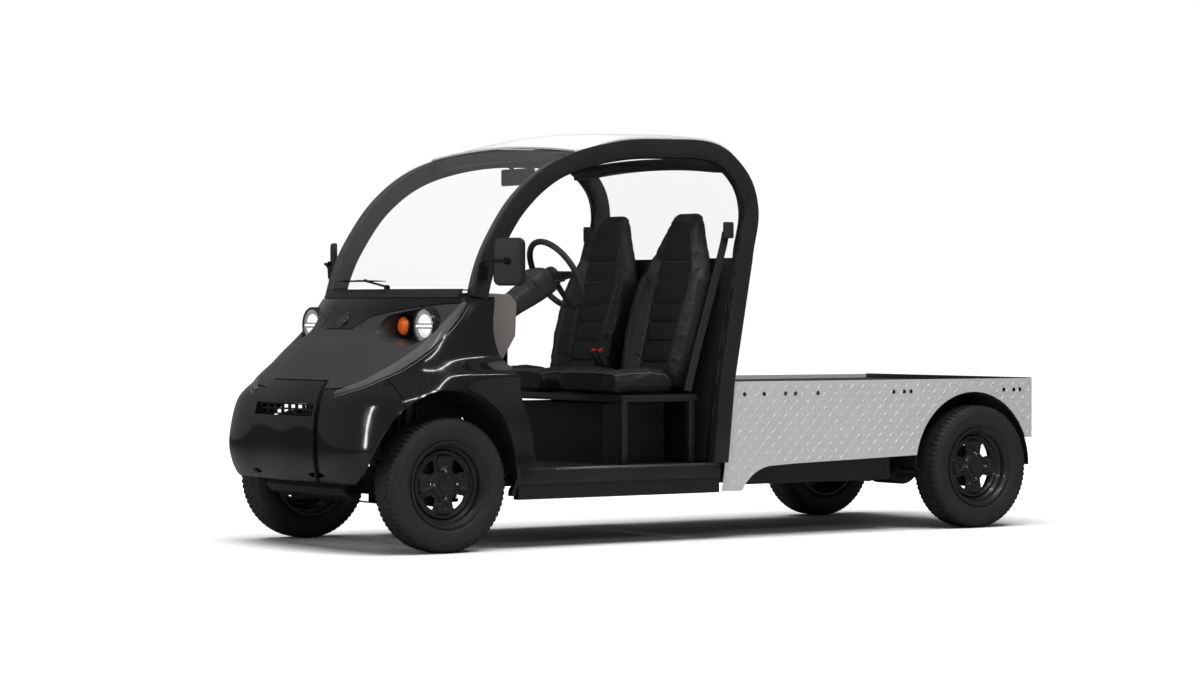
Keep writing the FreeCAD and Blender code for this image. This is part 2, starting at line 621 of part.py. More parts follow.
tower = tower.fuse(Part.makeBox(110, 20, 60, Vector(FRONT_AXLE - 5, RAIL_SPREAD, 590)))
suspension = lower_arm.fuse([upper_arm, strut, tower])
pair("front_suspension", feature("suspension_shape", suspension))

STEER_LOW = 222.0
ARM = size("steer_arm_length")
PIN_GAP = 0.3
for side, word in ((1, "left"), (-1, "right")):
    y = side * KINGPIN_Y
    knuckle = Part.makeCylinder(size("kingpin_radius") + 6, HIGH_BALL - LOW_BALL, Vector(FRONT_AXLE, y, LOW_BALL))
    spindle = Part.makeCylinder(size("spindle_radius"), size("kingpin_inset") + 24, Vector(FRONT_AXLE, y, HUB_Z), Vector(0, side, 0))
    drum = Part.makeCylinder(size("drum_radius"), 44, Vector(FRONT_AXLE, side * (HALF_TRACK - 60), HUB_Z), Vector(0, side, 0))
    arm = Part.makeBox(ARM, 20, 16, Vector(FRONT_AXLE - ARM, y - 10, STEER_LOW))
    arm = arm.fuse(Part.makeCylinder(14, 16, Vector(FRONT_AXLE - ARM, y, STEER_LOW)))
    arm = arm.fuse(Part.makeCylinder(size("tie_rod_radius"), 34, Vector(FRONT_AXLE - ARM, y, STEER_LOW - 20)))
    keep(feature(word + "_knuckle_shape", knuckle.fuse([spindle, drum, arm]).removeSplitter()), word + "_knuckle")

eye_low = STEER_LOW - 18
tie_bar = Part.makeBox(18, 2 * KINGPIN_Y, 14, Vector(FRONT_AXLE - ARM - 9, -KINGPIN_Y, eye_low))
for side in (1, -1):
    tie_bar = tie_bar.fuse(Part.makeCylinder(20, 14, Vector(FRONT_AXLE - ARM, side * KINGPIN_Y, eye_low)))
for side, play in ((1, PIN_GAP), (-1, 2.0)):
    hole = Part.makeCylinder(size("tie_rod_radius") + play, 40, Vector(FRONT_AXLE - ARM, side * KINGPIN_Y, eye_low - 10))
    tie_bar = tie_bar.cut(hole)
keep(feature("tie_rod_shape", tie_bar), "tie_rod")

# ---------------------------------------------------------------- rear axle with motor and springs
axle_reach = HALF_TRACK + 24
axle = Part.makeCylinder(38, 2 * (HALF_TRACK - 62), Vector(REAR_AXLE, -(HALF_TRACK - 62), HUB_Z), Vector(0, 1, 0))
axle = axle.fuse(Part.makeCylinder(size("spindle_radius"), 2 * axle_reach, Vector(REAR_AXLE, -axle_reach, HUB_Z), Vector(0, 1, 0)))
for side in (1, -1):
    axle = axle.fuse(Part.makeCylinder(size("drum_radius"), 44, Vector(REAR_AXLE, side * (HALF_TRACK - 60), HUB_Z), Vector(0, side, 0)))
axle = axle.fuse(Part.makeCylinder(105, 170, Vector(REAR_AXLE, -85, HUB_Z), Vector(0, 1, 0)))
axle = axle.fuse(Part.makeCylinder(88, 230, Vector(REAR_AXLE + 250, -95, HUB_Z + 5), Vector(0, 1, 0)))
axle = axle.fuse(Part.makeBox(260, 110, 120, Vector(REAR_AXLE, -60, HUB_Z - 55)))
LEAF_Y = 400.0
LEAF_HALF = 330.0
rear_rail_z = size("rail_bottom") + 150
rail_face = RAIL_SPREAD + size("rail_width") / 2
for side in (1, -1):
    leaf = Part.makeBox(2 * LEAF_HALF, 50, 16, Vector(REAR_AXLE - LEAF_HALF, side * LEAF_Y - 25, HUB_Z - 54))
    axle = axle.fuse([leaf, Part.makeBox(90, 62, 30, Vector(REAR_AXLE - 45, side * LEAF_Y - 31, HUB_Z - 44))])
    for end in (-LEAF_HALF, LEAF_HALF - 24):
        shackle = Part.makeBox(24, 50, rear_rail_z + 20 - (HUB_Z - 54), Vector(REAR_AXLE + end, side * LEAF_Y - 25, HUB_Z - 54))
        inner_y = min(side * rail_face, side * (LEAF_Y + 25))
        hanger = Part.makeBox(24, LEAF_Y + 25 - rail_face, 20, Vector(REAR_AXLE + end, inner_y, rear_rail_z))
        axle = axle.fuse([shackle, hanger])
keep(feature("rear_axle_shape", axle.removeSplitter()), "rear_axle")

battery = block("battery_case", "830", "2 * 535", "100", "-1043", "-535", "234")
rail_room = compound("rail_room", [
    block("room_left", "900", "Sizes.rail_width + 0.6", "120", "-1080", "Sizes.rail_spread - Sizes.rail_width / 2 - 0.3", "Sizes.rail_bottom - 0.3"),
    block("room_right", "900", "Sizes.rail_width + 0.6", "120", "-1080", "-Sizes.rail_spread - Sizes.rail_width / 2 - 0.3", "Sizes.rail_bottom - 0.3"),
    block("room_cross", "52", "2 * Sizes.rail_spread", "120", "-901", "-Sizes.rail_spread", "Sizes.rail_bottom + 4"),
    block("room_cross_2", "52", "2 * Sizes.rail_spread", "120", "-401", "-Sizes.rail_spread", "Sizes.rail_bottom + 4"),
    block("room_cross_3", "52", "2 * Sizes.rail_spread", "120", "-251", "-Sizes.rail_spread", "Sizes.rail_bottom + 4"),
])
keep(less("battery_box_cut", battery, rail_room), "battery_box")

# ---------------------------------------------------------------- floor, sills and cab back
FLOOR = size("floor_top")
sill_inner = size("sill_reach") - 58
floor_half = sill_inner - 0.3
floor = Part.makeBox(1080, 2 * floor_half, size("floor_wall"), Vector(-24, -floor_half, FLOOR - size("floor_wall")))
floor = floor.fuse(Part.makeBox(90, 2 * 335, size("floor_wall"), Vector(1050, -335, FLOOR - size("floor_wall"))))
toe_board = bent_strip([(1128, 331), (1150, 470), (1150, 852)], 5.0, -335, 335)
floor = floor.fuse([toe_board, Part.makeBox(5, 2 * 548, 212, Vector(1050, -548, 640)).cut(Part.makeBox(20, 670, 800, Vector(1040, -335, 300)))])
for side in (1, -1):
    cheek = Part.makeBox(98, 5, 212, Vector(1050, side * 335 - 2.5, 640))
    floor = floor.fuse(cheek)
floor = floor.cut(Part.makeBox(400, 1300, 800, Vector(1160, -650, 200)))
floor = largest(floor)
keep(feature("floor_shape", floor), "floor_pan")

sill = block("sill_rail", "1060", "58", "Sizes.sill_top - Sizes.skirt_top", "-20", "Sizes.sill_reach - 58", "Sizes.skirt_top")
pair("door_sills", sill)
skirt = block("skirt_panel", "1052", "40", "Sizes.skirt_top - Sizes.sill_bottom", "-16", "Sizes.sill_reach - 46", "Sizes.sill_bottom")
pair("sill_skirts", skirt)

back_line = [(-30, 346), (-92, 697), (-188, 1240)]
back_wall = bent_strip([(x + 70, z) for x, z in back_line], 30.0, -FOOT_REACH + 50, FOOT_REACH - 50).cut(both_hoops)
keep(feature("back_wall_shape", largest(back_wall)), "back_wall")
window_line = [(-121, 1246), (-152, 1390), (-160, 1480), (-136, 1570), (-92, 1632)]
rear_window = bent_strip(window_line, 5.0, -562, 562).cut(both_hoops)
keep(feature("rear_window_shape", largest(rear_window)), "rear_window")

# ---------------------------------------------------------------- dashboard, column and pedals
dash_line = [side_point(1046, 1075), side_point(1190, 1082), side_point(1158, 1046), side_point(1158, 700),
             side_point(1100, 770), side_point(1016, 900), side_point(1010, 1040), side_point(1046, 1075)]
dash = side_slab(lines(dash_line), -557, 557)
dash = dash.cut(Part.makeBox(150, 2 * 549, 660, Vector(1050, -549, 300)))
dash = largest(dash.cut(floor))
keep(feature("dash_shape", dash), "dashboard")
TILT = size("column_tilt")
hub = Vector(size("wheel_hub_x"), size("seat_spacing"), size("wheel_hub_z"))
toward_dash = Vector(math.cos(math.radians(TILT)), 0, -math.sin(math.radians(TILT)))
column = Part.makeCone(52, 62, 260, hub + toward_dash * 130, toward_dash)
column = column.fuse(Part.makeCylinder(24, 110, hub + toward_dash * 30, toward_dash))
column = column.fuse(Part.makeCone(34, 52, 30, hub + toward_dash * 100, toward_dash))
column = column.fuse(tube_between(hub + toward_dash * 380, hub + toward_dash * 560, 22))
column = column.cut(dash)
keep(feature("column_shape", largest(column)), "steering_column")

rim = Part.makeTorus(size("wheel_rim_radius") - size("wheel_grip_radius"), size("wheel_grip_radius"), hub, toward_dash)
boss = Part.makeCylinder(46, 34, hub + toward_dash * -4, toward_dash)
boss = boss.cut(Part.makeCylinder(24.5, 40, hub + toward_dash * 29, toward_dash))
spokes = []
for angle in (0, 180, 270):
    out = Vector(0, math.cos(math.radians(angle)), math.sin(math.radians(angle)))
    turned = Rotation(Vector(0, 1, 0), -TILT * -1).multVec(out)
    spokes.append(tube_between(hub + turned * 30 + toward_dash * 10, hub + turned * (size("wheel_rim_radius") - 14), 11))
keep(feature("steering_wheel_shape", rim.fuse([boss] + spokes)), "steering_wheel")

pedals = []
for y, high in ((180, 150), (290, 130)):
    plate = Part.makeBox(12, 60, 75, Vector(1060, y - 30, 430))
    stem = tube_between(Vector(1070, y, 500), Vector(1120, y, 640), 7)
    pedals.append(plate.fuse([stem, Part.makeBox(39.7, 20, 20, Vector(1105, y - 10, 630))]))
keep(feature("pedal_shapes", Part.makeCompound(pedals)), "pedals")

# ---------------------------------------------------------------- seats
SEAT_Y = size("seat_spacing")
HALF_SEAT = size("seat_width") / 2
back_outline = [(140, 640), (60, 900), (10, 1143), (-64, 1440), (-72, 1462), (-112, 1462), (-135, 1400), (-75, 1120), (10, 720), (20, 640)]


def seat_back_shape():
    sections = []
    for z, front, rear, half in ((655, 150, 30, 200), (800, 118, 2, 232), (1000, 60, -50, 240), (1143, 20, -75, 232),
                                 (1240, -8, -96, 190), (1330, -34, -108, 130), (1420, -52, -112, 100), (1458, -66, -108, 84)):
        points = [Vector(front, SEAT_Y - half * 0.8, z), Vector(front, SEAT_Y + half * 0.8, z),
                  Vector((front + rear) / 2, SEAT_Y + half, z), Vector(rear, SEAT_Y + half * 0.8, z),
                  Vector(rear, SEAT_Y - half * 0.8, z), Vector((front + rear) / 2, SEAT_Y - half, z)]
        sections.append(Part.makePolygon(points + points[:1]))
    return Part.makeLoft(sections, True, True)


pair("seat_backs", feature("seat_back_shape", seat_back_shape()))
cushion_top = size("cushion_top")
cushion_low = size("cushion_bottom")
cushion_line = [side_point(size("cushion_front"), cushion_low + 20), side_point(size("cushion_front"), cushion_top - 40),
                side_point(size("cushion_front") - 40, cushion_top), side_point(250, cushion_top - 22),
                side_point(134, cushion_top - 40), side_point(155, cushion_low), side_point(size("cushion_front") - 20, cushion_low)]
cushion = side_slab(lines(cushion_line + cushion_line[:1]), SEAT_Y - HALF_SEAT, SEAT_Y + HALF_SEAT)
pair("seat_cushions", feature("cushion_shape", cushion.cut(seat_back_shape())))

frame_low = cushion_low - 32
seat_bars = [
    Part.makeBox(30, 1100, 30, Vector(430, -550, frame_low + 1.7)),
    Part.makeBox(30, 1100, 30, Vector(60, -550, frame_low + 1.7)),
]
for y in (-550, -30, 0, 520):
    seat_bars.append(Part.makeBox(400, 30, 30, Vector(60, y, frame_low + 1.7)))
for x in (70, 430):
    for y in (-545, 515):
        seat_bars.append(Part.makeBox(30, 30, frame_low - FLOOR + 4, Vector(x, y, FLOOR)))
seat_joined = seat_bars[0].fuse(seat_bars[1:]).removeSplitter()
seat_box = Part.makeBox(330, 700, 262, Vector(96, -350, FLOOR + 0.3))
seat_box = seat_box.cut(Part.makeBox(318, 688, 262, Vector(102, -344, FLOOR + 6)))
keep(feature("seat_frame_shape", Part.makeCompound([seat_joined])), "seat_frame")
keep(feature("seat_box_shape", seat_box), "seat_box")

belts = []
for y0, y1 in ((505, 535),):
    guide = Part.makeBox(34, 44, 70, Vector(-128, 524, 1330)).cut(both_hoops)
    strap = bent_strip([(-112, 1350), (-60, 1180), (60, 800), (102, 640.6)], -3.0, 532, 548)
    belts.append(guide.fuse(strap))
pair("seat_belts", feature("belt_shape", Part.makeCompound(belts)))

# ---------------------------------------------------------------- lamps, mirrors and wiper
headlamp = rod("headlamp_can", "Sizes.headlamp_radius", "Sizes.headlamp_face - %g" % (POCKET_FLOOR + 0.3),
               "%g" % (POCKET_FLOOR + 0.3), "Sizes.headlamp_reach", "Sizes.lamp_height", "X")
pair("headlamps", headlamp)
indicator = rod("indicator_can", "Sizes.indicator_radius", "Sizes.indicator_face - %g" % (POCKET_FLOOR + 0.3),
                "%g" % (POCKET_FLOOR + 0.3), "Sizes.indicator_reach", "Sizes.lamp_height", "X")
pair("indicator_lamps", indicator)

mirror_head = Part.makeBox(34, 128, 200, Vector(1140, 672, 1110))
mirror_head = mirror_head.makeFillet(14, mirror_head.Edges)
arm = tube_between(Vector(1240, 622, 1165), Vector(1240, 700, 1212), 7)
arm = arm.fuse(tube_between(Vector(1240, 700, 1212), Vector(1165, 736, 1214), 7))
arm = arm.fuse(Part.makeSphere(7, Vector(1240, 700, 1212)))
clamp = Part.makeBox(60, 26, 70, Vector(1180, 602, 1130))
pair("side_mirrors", feature("mirror_shape", largest(mirror_head.fuse([arm, clamp]).cut(both_hoops))))
inner_mirror = Part.makeBox(24, 250, 74, Vector(628, -125, 1560))
inner_mirror = inner_mirror.makeFillet(9, inner_mirror.Edges)
inner_mirror = inner_mirror.fuse(tube_between(Vector(645, 0, 1610), Vector(700, 0, 1656.4), 8))
keep(feature("inner_mirror_shape", inner_mirror), "interior_mirror")

wiper_blade = Part.makeBox(10, 440, 12, Vector(1400, -310, 1128))
wiper_arm = tube_between(Vector(1405, -90, 1134), Vector(1410, 160, 1105), 6)
wiper_arm = wiper_arm.fuse(Part.makeCylinder(12, 16, Vector(1410, 160, 1098.5)))
keep(feature("wiper_shape", wiper_blade.fuse(wiper_arm)), "wiper")

# ---------------------------------------------------------------- load bed
BED_HALF = size("bed_half_width")
DECK = size("deck_top")
deck_under = DECK - size("deck_wall")
deck_front = -95.0
deck = Part.makeBox(deck_front - TAIL_X - 8, 2 * (BED_HALF - size("bed_wall") - 0.3), size("deck_wall"),
                    Vector(TAIL_X + 8, -(BED_HALF - size("bed_wall") - 0.3), deck_under))
keep(feature("deck_shape", deck), "bed_deck")
ARCH_REAR_X = REAR_AXLE + 13.5
rear_arch = size("rear_arch_radius")
BED_LINE = [(-96, 694), (-1841.5, 690), (-1841.5, 413), (-1802, 413)]
arch_steps = [(ARCH_REAR_X + rear_arch * math.cos(math.radians(a)), HUB_Z + 1 + rear_arch * math.sin(math.radians(a)))
              for a in (158, 10)]
arch_curve = Part.Arc(side_point(ARCH_REAR_X - math.sqrt(rear_arch ** 2 - 128 ** 2), 413),
                      side_point(ARCH_REAR_X, HUB_Z + 1 + rear_arch),
                      side_point(ARCH_REAR_X + math.sqrt(rear_arch ** 2 - 60 ** 2), 345)).toShape()
edges = lines([side_point(-96, 694), side_point(-1841.5, 690), side_point(-1841.5, 413),
               side_point(ARCH_REAR_X - math.sqrt(rear_arch ** 2 - 128 ** 2), 413)])
edges.append(arch_curve)
edges += lines([side_point(ARCH_REAR_X + math.sqrt(rear_arch ** 2 - 60 ** 2), 345), side_point(-434, 325), side_point(-322, 319)])
edges.append(Part.Arc(side_point(-322, 319), side_point(-214, 290), side_point(-140, 212)).toShape())
edges += lines([side_point(-140, 212), side_point(-30, 212), side_point(-96, 694)])
pair("bed_sides", feature("bed_side_shape", side_slab(edges, BED_HALF - size("bed_wall"), BED_HALF)))
skirt_half = BED_HALF - size("bed_wall") - size("seat_gap")
rear_skirt = Part.makeBox(6, 2 * skirt_half, 280, Vector(TAIL_X, -skirt_half, 413))
for side in (1, -1):
    rear_skirt = rear_skirt.cut(Part.makeCylinder(41, 20, Vector(TAIL_X - 5, side * 500, 500), Vector(1, 0, 0)))
keep(feature("rear_skirt_shape", rear_skirt), "bed_rear_panel")
front_rail = Part.makeBox(24, 2 * (BED_HALF - 5), 52, Vector(-94.5, -(BED_HALF - 5), DECK - 30))
tail_lamp = rod("tail_lamp_can", "40", "30", "-Sizes.overall_length / 2 + 0.5", "500", "500", "X")
pair("tail_lamps", tail_lamp)

# ---------------------------------------------------------------- road wheels
def road_wheel(name, x, side):
    """A pressed steel wheel: barrel, recessed disc with four windows, boss and cap."""
    disc = size("disc_face_reach")
    barrel_outer = [(-70, 183), (-70, 176), (-62, 169), (-56, 164.8), (-22, 164.8), (-12, 150), (20, 150), (32, 164.8), (56, 164.8), (64, 170), (68, 176), (68, 183), (72, 183), (72, 174), (67, 167)]
    barrel_inner = [(58, 161), (35, 161), (22, 146.5), (-13, 146.5), (-23, 161), (-57, 161), (-66, 168), (-74, 175), (-74, 183)]
    section = [(y, r) for y, r in barrel_outer + barrel_inner]
    barrel = Part.Face(Part.makePolygon([Vector(0, y, r) for y, r in section + section[:1]])).revolve(Vector(), Vector(0, 1, 0), 360)
    hole = size("spindle_radius") + size("running_gap")
    dish = [(disc - 6, 147.5), (disc - 6, 90), (disc - 14, 60), (disc - 24, 48), (disc - 24, hole), (disc + 4, hole), (disc + 4, 0),
            (disc + 12, 0), (disc + 12, 27), (disc + 6, 31), (disc, 34), (disc, 139), (disc - 1, 147.5)]
    disc_solid = Part.Face(Part.makePolygon([Vector(0, y, r) for y, r in dish + dish[:1]])).revolve(Vector(), Vector(0, 1, 0), 360)
    for turn in (45, 135, 225, 315):
        window = Part.makeCylinder(19, 60, Vector(105 * math.cos(math.radians(turn)), -20, 105 * math.sin(math.radians(turn))), Vector(0, 1, 0))
        disc_solid = disc_solid.cut(window)
    wheel = barrel.fuse(disc_solid)
    wheel.Placement = Placement(Vector(x, side * HALF_TRACK, HUB_Z), Rotation(Vector(0, 0, 1), 0 if side > 0 else 180))
    return wheel


def tyre(x, side):
    R = size("tyre_radius")
    outer = [(-52, 165.2), (-59, 170), (-64, 178), (-66, 186), (-76, 203), (-81.5, 220), (-82.5, 234), (-81, 250), (-76, 268), (-66, R - 6), (-52, R - 1.5), (0, R),
             (52, R - 1.5), (66, R - 6), (76, 268), (81, 250), (82.5, 234), (81.5, 220), (76, 203), (66, 186), (64, 178), (59, 170), (52, 165.2)]
    inner = [(46, 165.2), (53, 178), (62, 198), (71, 216), (72.5, 234), (68, 256), (52, 268), (0, 270), (-52, 268), (-68, 256), (-72.5, 234),
             (-71, 216), (-62, 198), (-53, 178), (-46, 165.2)]
    inner = [(y, r) for y, r in inner]
    loop = [Vector(0, y, r) for y, r in outer + inner]
    ring = Part.Face(Part.makePolygon(loop + loop[:1])).revolve(Vector(), Vector(0, 1, 0), 360)
    ring.Placement = Placement(Vector(x, side * HALF_TRACK, HUB_Z), Rotation())
    return ring


for end, x in (("front", FRONT_AXLE), ("rear", REAR_AXLE)):
    for side, word in ((1, "left"), (-1, "right")):
        keep(feature("%s_%s_wheel_shape" % (end, word), road_wheel("wheel", x, side)), "%s_%s_wheel" % (end, word))
        keep(feature("%s_%s_tyre_shape" % (end, word), tyre(x, side)), "%s_%s_tyre" % (end, word))

# ---------------------------------------------------------------- recompute, test and write
doc.recompute()
faults = []
for item in doc.Objects:
    if "Invalid" in item.State or "Error" in item.State:
        faults.append("%s is in state %s" % (item.Name, item.State))
for item in NODES:
    shape = item.Shape
    if shape.isNull() or not shape.isValid() or not shape.Solids:
        faults.append("bad shape in " + item.Label)
if faults:
    raise SystemExit("; ".join(faults))
for item in NODES:
    item.Shape.exportStep("parts/%s.step" % item.Label)
    box = item.Shape.BoundBox
    print(item.Label, len(item.Shape.Solids), round(item.Shape.Volume / 1e6, 2),
          [round(v) for v in (box.XMin, box.YMin, box.ZMin, box.XMax, box.YMax, box.ZMax)])
print(len(NODES), "nodes")
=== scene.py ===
import math

import bmesh
import bpy
import numpy as np
from mathutils import Matrix, Vector
from mathutils.bvhtree import BVHTree


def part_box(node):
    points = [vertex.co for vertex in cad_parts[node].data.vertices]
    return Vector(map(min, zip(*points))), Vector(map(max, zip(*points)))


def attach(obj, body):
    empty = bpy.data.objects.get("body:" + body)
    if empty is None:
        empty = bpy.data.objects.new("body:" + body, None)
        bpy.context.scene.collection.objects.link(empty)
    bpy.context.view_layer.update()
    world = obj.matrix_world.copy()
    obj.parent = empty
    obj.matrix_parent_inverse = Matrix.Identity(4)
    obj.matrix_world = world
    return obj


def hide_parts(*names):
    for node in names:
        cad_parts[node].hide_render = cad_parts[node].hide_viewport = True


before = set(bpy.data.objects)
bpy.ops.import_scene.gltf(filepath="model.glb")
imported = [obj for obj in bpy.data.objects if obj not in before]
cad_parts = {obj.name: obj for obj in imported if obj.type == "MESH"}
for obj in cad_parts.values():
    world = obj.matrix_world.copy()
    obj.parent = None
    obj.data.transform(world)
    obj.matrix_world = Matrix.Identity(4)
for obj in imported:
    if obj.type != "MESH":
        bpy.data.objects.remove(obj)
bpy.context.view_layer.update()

# ---------------------------------------------------------------- hood
# The hood is one moulded panel that runs from the bumper up to the brow, with a pocket for each pair of lamps.
# It is painted satin dark grey over plastic, so its gloss is soft and wavers a little across the panel.


class Wire:
    """One output of a finish's nodes. Arithmetic on it adds Math nodes."""

    def __init__(self, finish, socket):
        self.finish = finish
        self.socket = socket

    def math(self, operation, first, second):
        return self.finish.node("ShaderNodeMath", {"operation": operation}, {0: first, 1: second})

    def __add__(self, other):
        return self.math("ADD", self, other)

    def __radd__(self, other):
        return self.math("ADD", other, self)

    def __sub__(self, other):
        return self.math("SUBTRACT", self, other)

    def __rsub__(self, other):
        return self.math("SUBTRACT", other, self)

    def __mul__(self, other):
        return self.math("MULTIPLY", self, other)

    def __rmul__(self, other):
        return self.math("MULTIPLY", other, self)

    def __truediv__(self, other):
        return self.math("DIVIDE", self, other)


class Finish:
    """A procedural finish built on one Principled shader."""

    def __init__(self, name, colour, roughness, metallic=0.0, coat=0.0, alpha=1.0):
        self.material = bpy.data.materials.new(name)
        self.material.use_nodes = True
        self.tree = self.material.node_tree
        self.shader = self.tree.nodes["Principled BSDF"]
        self.colour = colour
        self.set("Base Color", (*colour, 1.0))
        self.set("Roughness", roughness)
        self.set("Metallic", metallic)
        self.set("Coat Weight", coat)
        self.set("Alpha", alpha)
        self.place = self.node("ShaderNodeTexCoord", output="Object")

    def node(self, kind, settings=None, sockets=None, output=0):
        made = self.tree.nodes.new(kind)
        for key, value in (settings or {}).items():
            setattr(made, key, value)
        for key, value in (sockets or {}).items():
            if isinstance(value, Wire):
                self.tree.links.new(value.socket, made.inputs[key])
            else:
                made.inputs[key].default_value = value
        return Wire(self, made.outputs[output])

    def set(self, socket, value):
        if isinstance(value, Wire):
            self.tree.links.new(value.socket, self.shader.inputs[socket])
        else:
            self.shader.inputs[socket].default_value = value

    def noise(self, scale, detail=3.0):
        return self.node("ShaderNodeTexNoise", None, {"Vector": self.place, "Scale": scale, "Detail": detail})

    def tint(self, other, factor):
        """Blend the base colour towards another colour."""
        blended = self.node("ShaderNodeMix", {"data_type": "RGBA"},
                            {0: factor, 6: (*self.colour, 1.0), 7: (*other, 1.0)}, 2)
        self.set("Base Color", blended)

    def bump(self, height, distance, strength=1.0):
        self.set("Normal", self.node("ShaderNodeBump", None,
                                     {"Height": height, "Distance": distance, "Strength": strength}))


def dress(finish, *names):
    """Give CAD nodes their finish."""
    for name in names:
        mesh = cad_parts[name].data
        mesh.materials.clear()
        mesh.materials.append(finish.material)


satin_grey = Finish("satin grey paint", (0.022, 0.0222, 0.0235), 0.34, coat=0.25)
satin_grey.set("Roughness", satin_grey.noise(9.0) * 0.08 + 0.31)
satin_grey.tint((0.028, 0.028, 0.03), satin_grey.noise(3.0))
satin_grey.bump(satin_grey.noise(900.0, 2.0), 0.00005)
dress(satin_grey, "hood")

# ---------------------------------------------------------------- bumper, fenders and brow panel
# These panels are moulded plastic in gloss black paint. The lacquer has the faint ripple that all moulded
# panels have, and a trace of dust dulls it.
gloss_black = Finish("gloss black paint", (0.0035, 0.0035, 0.0038), 0.14, coat=1.0)
gloss_black.shader.inputs["Coat Roughness"].default_value = 0.04
gloss_black.set("Roughness", gloss_black.noise(14.0) * 0.08 + 0.12)
gloss_black.bump(gloss_black.noise(22.0, 1.0), 0.0002)
dress(gloss_black, "front_bumper", "left_fender", "right_fender", "brow_panel")


def piece_from(mesh_maker, name, finish, body, replaced=()):
    """Turn a bmesh into a finished piece that rides on a body."""
    mesh = bpy.data.meshes.new(name)
    mesh_maker.to_mesh(mesh)
    mesh_maker.free()
    piece = bpy.data.objects.new(name, mesh)
    bpy.context.scene.collection.objects.link(piece)
    mesh.materials.append(finish.material)
    mesh.polygons.foreach_set("use_smooth", [True] * len(mesh.polygons))
    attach(piece, body)
    if replaced:
        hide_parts(*replaced)
    return piece


def sharpen(piece, degrees=35.0):
    """Keep edges sharper than an angle crisp on a smooth-shaded piece."""
    piece.data.set_sharp_from_angle(angle=math.radians(degrees))
    return piece


def turned(profile, axis, centre, steps=32):
    """Spin a profile of (along, radius) points about an axis into a closed shape."""
    maker = bmesh.new()
    along = Vector(axis).normalized()
    across = along.orthogonal().normalized()
    corners = [maker.verts.new(Vector(centre) + along * a + across * r) for a, r in profile]
    edges = [maker.edges.new(pair) for pair in zip(corners, corners[1:])]
    bmesh.ops.spin(maker, geom=corners + edges, cent=Vector(centre), axis=along, angle=2 * math.pi,
                   steps=steps, use_merge=True)
    bmesh.ops.remove_doubles(maker, verts=maker.verts, dist=1e-6)
    bmesh.ops.recalc_face_normals(maker, faces=maker.faces)
    return maker


def add_to(maker, other):
    """Put one bmesh's faces into another."""
    scratch = bpy.data.meshes.new("scratch")
    other.to_mesh(scratch)
    other.free()
    maker.from_mesh(scratch)
    bpy.data.meshes.remove(scratch)


def skin_tree(*names):
    """The surfaces of CAD nodes, for laying fittings on them."""
    maker = bmesh.new()
    for name in names:
        maker.from_mesh(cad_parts[name].data)
    tree = BVHTree.FromBMesh(maker)
    maker.free()
    return tree


nose_skin = skin_tree("hood", "front_bumper", "left_fender", "right_fender", "brow_panel", "cowl_top")
black_screw = Finish("black screw", (0.012, 0.012, 0.013), 0.3, metallic=0.6)
black_screw.bump(black_screw.noise(300.0), 0.0001)
SCREW_HEAD = [(0.0, 0.0), (0.0008, 0.003), (0.0022, 0.0032), (0.0024, 0.0075), (0.0014, 0.0095),
              (-0.004, 0.0098), (-0.004, 0.0)]
screws = bmesh.new()
for side in (1, -1):
    for x, z in ((1.652, 0.705), (1.652, 0.628)):
        hit, facing, index, gap = nose_skin.ray_cast(Vector((x, side * 1.0, z)), Vector((0, -side, 0)))
        if hit is None:
            continue
        outward = facing if facing.y * side > 0 else -facing
        add_to(screws, turned([(a, r) for a, r in SCREW_HEAD], outward, hit, 16))
piece_from(screws, "panel_screws", black_screw, "truck")

# ---------------------------------------------------------------- tread-plate bed sides
# Each bed side is 4 mm aluminium tread plate with rows of raised lozenges, alternately leaning each way.
# The plate is left bright, with faint brushing and dull patches, and is held by black button-head bolts.
bright_plate = Finish("bright tread plate", (0.74, 0.745, 0.75), 0.3, metallic=0.5)
brushed = bright_plate.node("ShaderNodeMapping", None, {"Vector": bright_plate.place, "Scale": (6.0, 1.0, 900.0)})
grainy = bright_plate.node("ShaderNodeTexNoise", None, {"Vector": brushed, "Scale": 1.0, "Detail": 2.0})
bright_plate.set("Roughness", grainy * 0.12 + bright_plate.noise(7.0) * 0.14 + 0.2)
bright_plate.tint((0.68, 0.685, 0.69), bright_plate.noise(11.0))
bright_plate.bump(grainy, 0.00008)
dress(bright_plate, "bed_sides")
side_skin = skin_tree("bed_sides")
PLATE_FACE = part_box("bed_sides")[1].y
LOZENGE_LONG = 0.033
LOZENGE_WIDE = 0.0085
LOZENGE_HIGH = 0.0022
PITCH = 0.032
lozenge = bmesh.new()
bmesh.ops.create_cone(lozenge, cap_ends=True, segments=6, radius1=0.5, radius2=0.28, depth=1.0)
bmesh.ops.scale(lozenge, vec=(LOZENGE_LONG, LOZENGE_WIDE, LOZENGE_HIGH), verts=lozenge.verts)
lozenge_mesh = bpy.data.meshes.new("lozenge")
lozenge.to_mesh(lozenge_mesh)
lozenge.free()
relief = bmesh.new()
columns = int(1.86 / PITCH)
rows = int(0.49 / PITCH)
